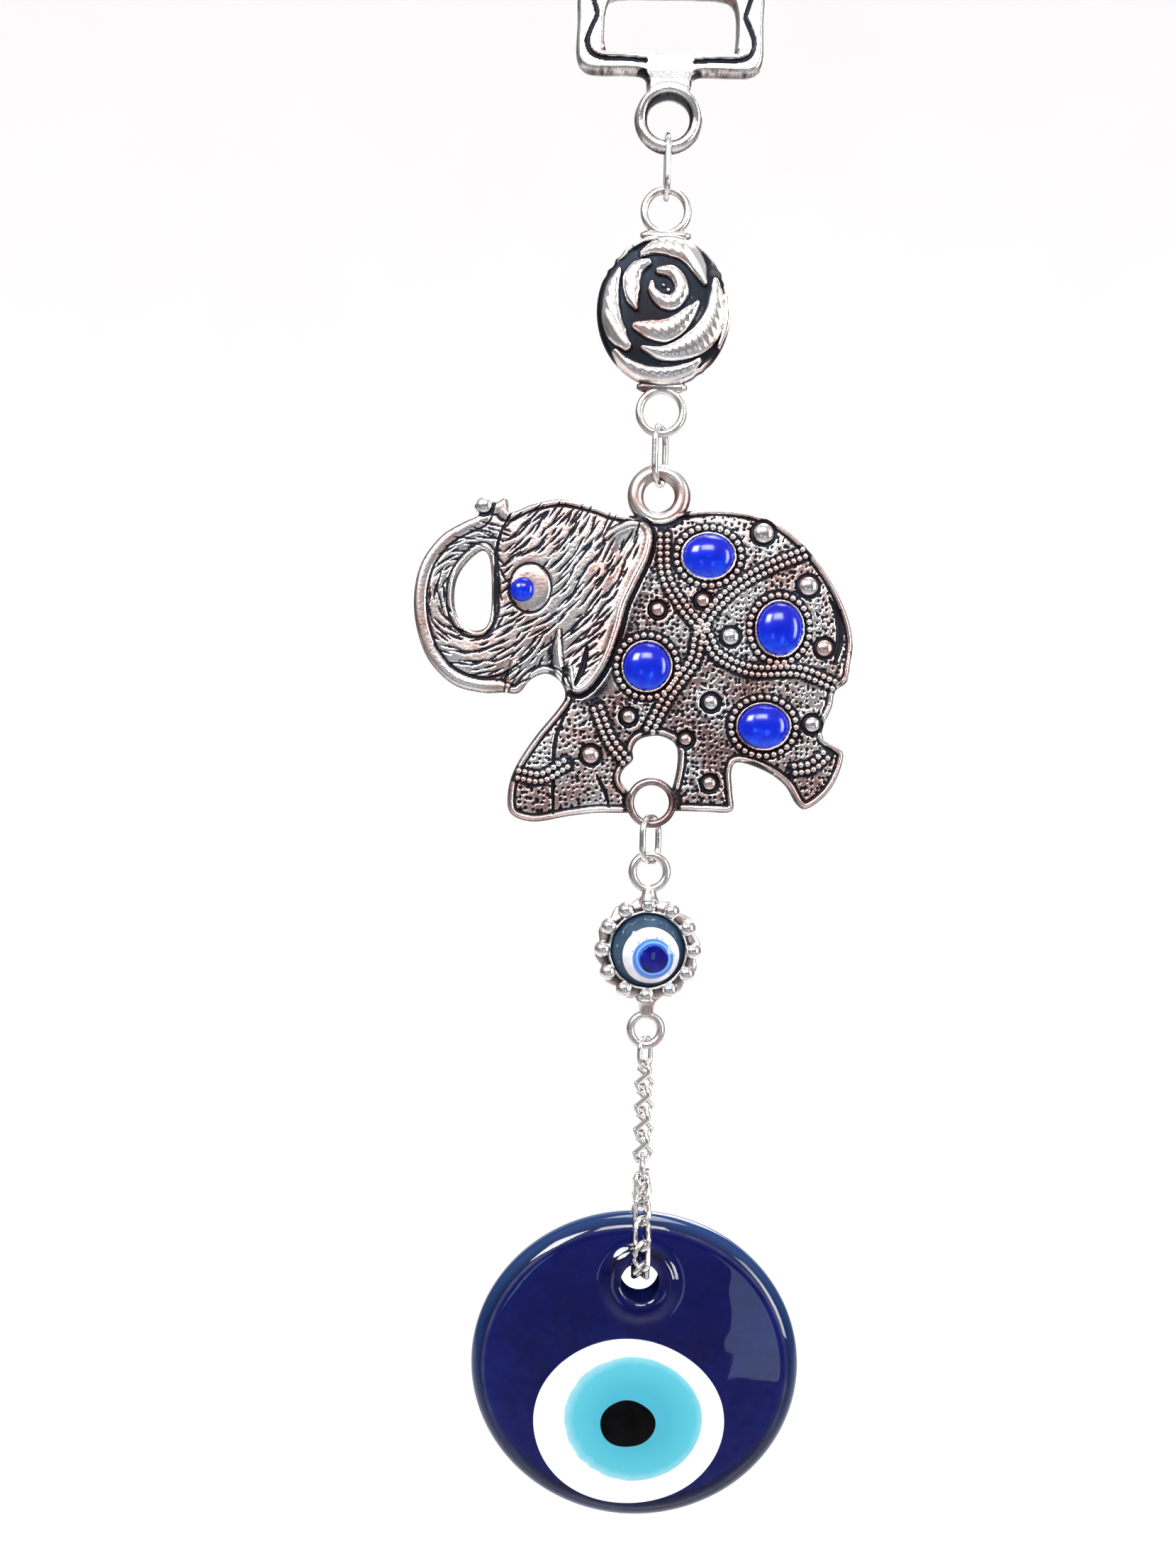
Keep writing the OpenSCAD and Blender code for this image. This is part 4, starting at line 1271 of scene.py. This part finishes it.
def wire_nodes():
    """The links keep their CAD shape."""
    for name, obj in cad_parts.items():
        if "link" in name or name == "sling_ring":
            obj.data.materials.clear()
            obj.data.materials.append(WIRE)


# ---------------------------------------------------------------- studio


def stage_mesh(name, points, faces, material):
    mesh = bpy.data.meshes.new(name)
    mesh.from_pydata(points, [], faces)
    for polygon in mesh.polygons:
        polygon.use_smooth = True
    mesh.materials.append(material)
    placed(name, mesh)


def backdrop():
    """A pale sweep: a floor below the ornament that curves up into a wall well behind it."""
    paint = Paint("studio_paper")
    depth = paint.along("Object", "Y")
    behind = paint.node("ShaderNodeMapRange", {"Value": depth, "From Min": -0.2, "From Max": 0.3})
    away = paint.distance(paint.place(), (1.0, 0.0, 1.0))
    near = paint.node("ShaderNodeMapRange", {"Value": away, "From Min": 1.5, "From Max": 0.9, "To Max": 0.8})
    paint.set(
        Base_Color=paint.ramp(paint.noise(120, 2), (0.3, (0.40, 0.39, 0.39)), (0.7, (0.45, 0.44, 0.44))),
        Roughness=0.9,
        Emission_Strength=paint.math("MULTIPLY", behind.outputs["Result"], near.outputs["Result"]),
    )
    paint.put(paint.shader, "Emission Color", (1.0, 0.985, 0.985, 1))
    floor = cad_box[0].z - 0.25
    bend, r = 0.7, 0.5
    curve = [(-2.5, floor), (bend, floor)]
    for a in np.linspace(0.1, math.pi / 2, 12):
        curve.append((bend + r * math.sin(a), floor + r - r * math.cos(a)))
    curve.append((bend + r, floor + 3))
    points = [(x, y, z) for y, z in curve for x in (-3, 3)]
    faces = [(2 * i, 2 * i + 1, 2 * i + 3, 2 * i + 2) for i in range(len(curve) - 1)]
    stage_mesh("studio_sweep", points, faces, paint.material)


WINDOW_BLUE = (0.60, 0.80, 1)

# From straight down to straight up
SKY = ((0.25, (0.05, 0.045, 0.045)), (0.5, (0.14, 0.13, 0.13)), (0.8, (0.55, 0.55, 0.57)))


def lamp(name, place, size, power, colour=(1, 1, 1)):
    """A soft panel that faces the ornament's centre and doesn't show itself."""
    light = bpy.data.lights.new(name, "AREA")
    light.shape = "RECTANGLE"
    light.spread = math.radians(75)
    light.size, light.size_y = size
    light.energy = power
    light.color = colour
    obj = placed(name, light)
    obj.location = place
    obj.rotation_euler = (CENTRE - Vector(place)).to_track_quat("-Z", "Y").to_euler()
    obj.visible_camera = False


def studio():
    """Panels all round, two faint ones low in front for the glass, and a grey sky that is bright above."""
    lamp("key_light", (-0.5, -0.7, CENTRE.z + 0.5), (0.35, 0.35), 1.55)
    lamp("side_light", (0.7, -0.4, CENTRE.z + 0.1), (0.2, 0.6), 0.9, (1, 0.97, 0.95))
    lamp("front_light", (0.0, -0.6, CENTRE.z + 0.4), (0.34, 0.2), 0.52)
    lamp("top_light", (0.1, 0.1, CENTRE.z + 0.9), (0.6, 0.4), 1.5)
    lamp("back_light", (0.2, 0.6, CENTRE.z + 0.4), (0.4, 0.4), 0.8)
    low = cad_box[0].z
    lamp("window_light", (0.17, -0.62, low - 0.10), (0.10, 0.22), 0.018, WINDOW_BLUE)
    lamp("window_light_left", (-0.16, -0.62, low - 0.02), (0.08, 0.16), 0.012, WINDOW_BLUE)
    world = bpy.data.worlds.new("studio")
    bpy.context.scene.world = world
    world.use_nodes = True
    sky = Nodes(world.node_tree)
    up = sky.node("ShaderNodeMapRange", {"Value": sky.along("Generated", "Z"), "From Min": -1.0})
    colour = sky.ramp(up.outputs["Result"], *SKY)
    sky.put(world.node_tree.nodes["Background"], "Color", colour)
    bpy.context.scene.view_settings.view_transform = "Standard"


def camera():
    """Straight on from the front at arm's length, leaning a little about its own axis."""
    half_view = math.radians(26)
    lean = math.radians(1.44)
    seen_height = 0.2433
    left_by, below_by = 0.0099, 0.0064
    data = bpy.data.cameras.new("camera")
    data.sensor_width = 36
    data.lens = data.sensor_width / 2 / math.tan(half_view)
    data.clip_start = 0.01
    obj = placed("camera", data)
    place = Vector((-left_by, -seen_height / 2 / math.tan(half_view), CENTRE.z - below_by))
    right = Vector((math.cos(lean), 0, math.sin(lean)))
    back = Vector((0, -1, 0))
    turn = Matrix((right, back.cross(right), back)).transposed()
    obj.matrix_world = Matrix.Translation(place) @ turn.to_4x4()
    bpy.context.scene.camera = obj


hanger()
rose()
elephant()
charm()
glass_eye()
wire_nodes()
backdrop()
studio()
camera()
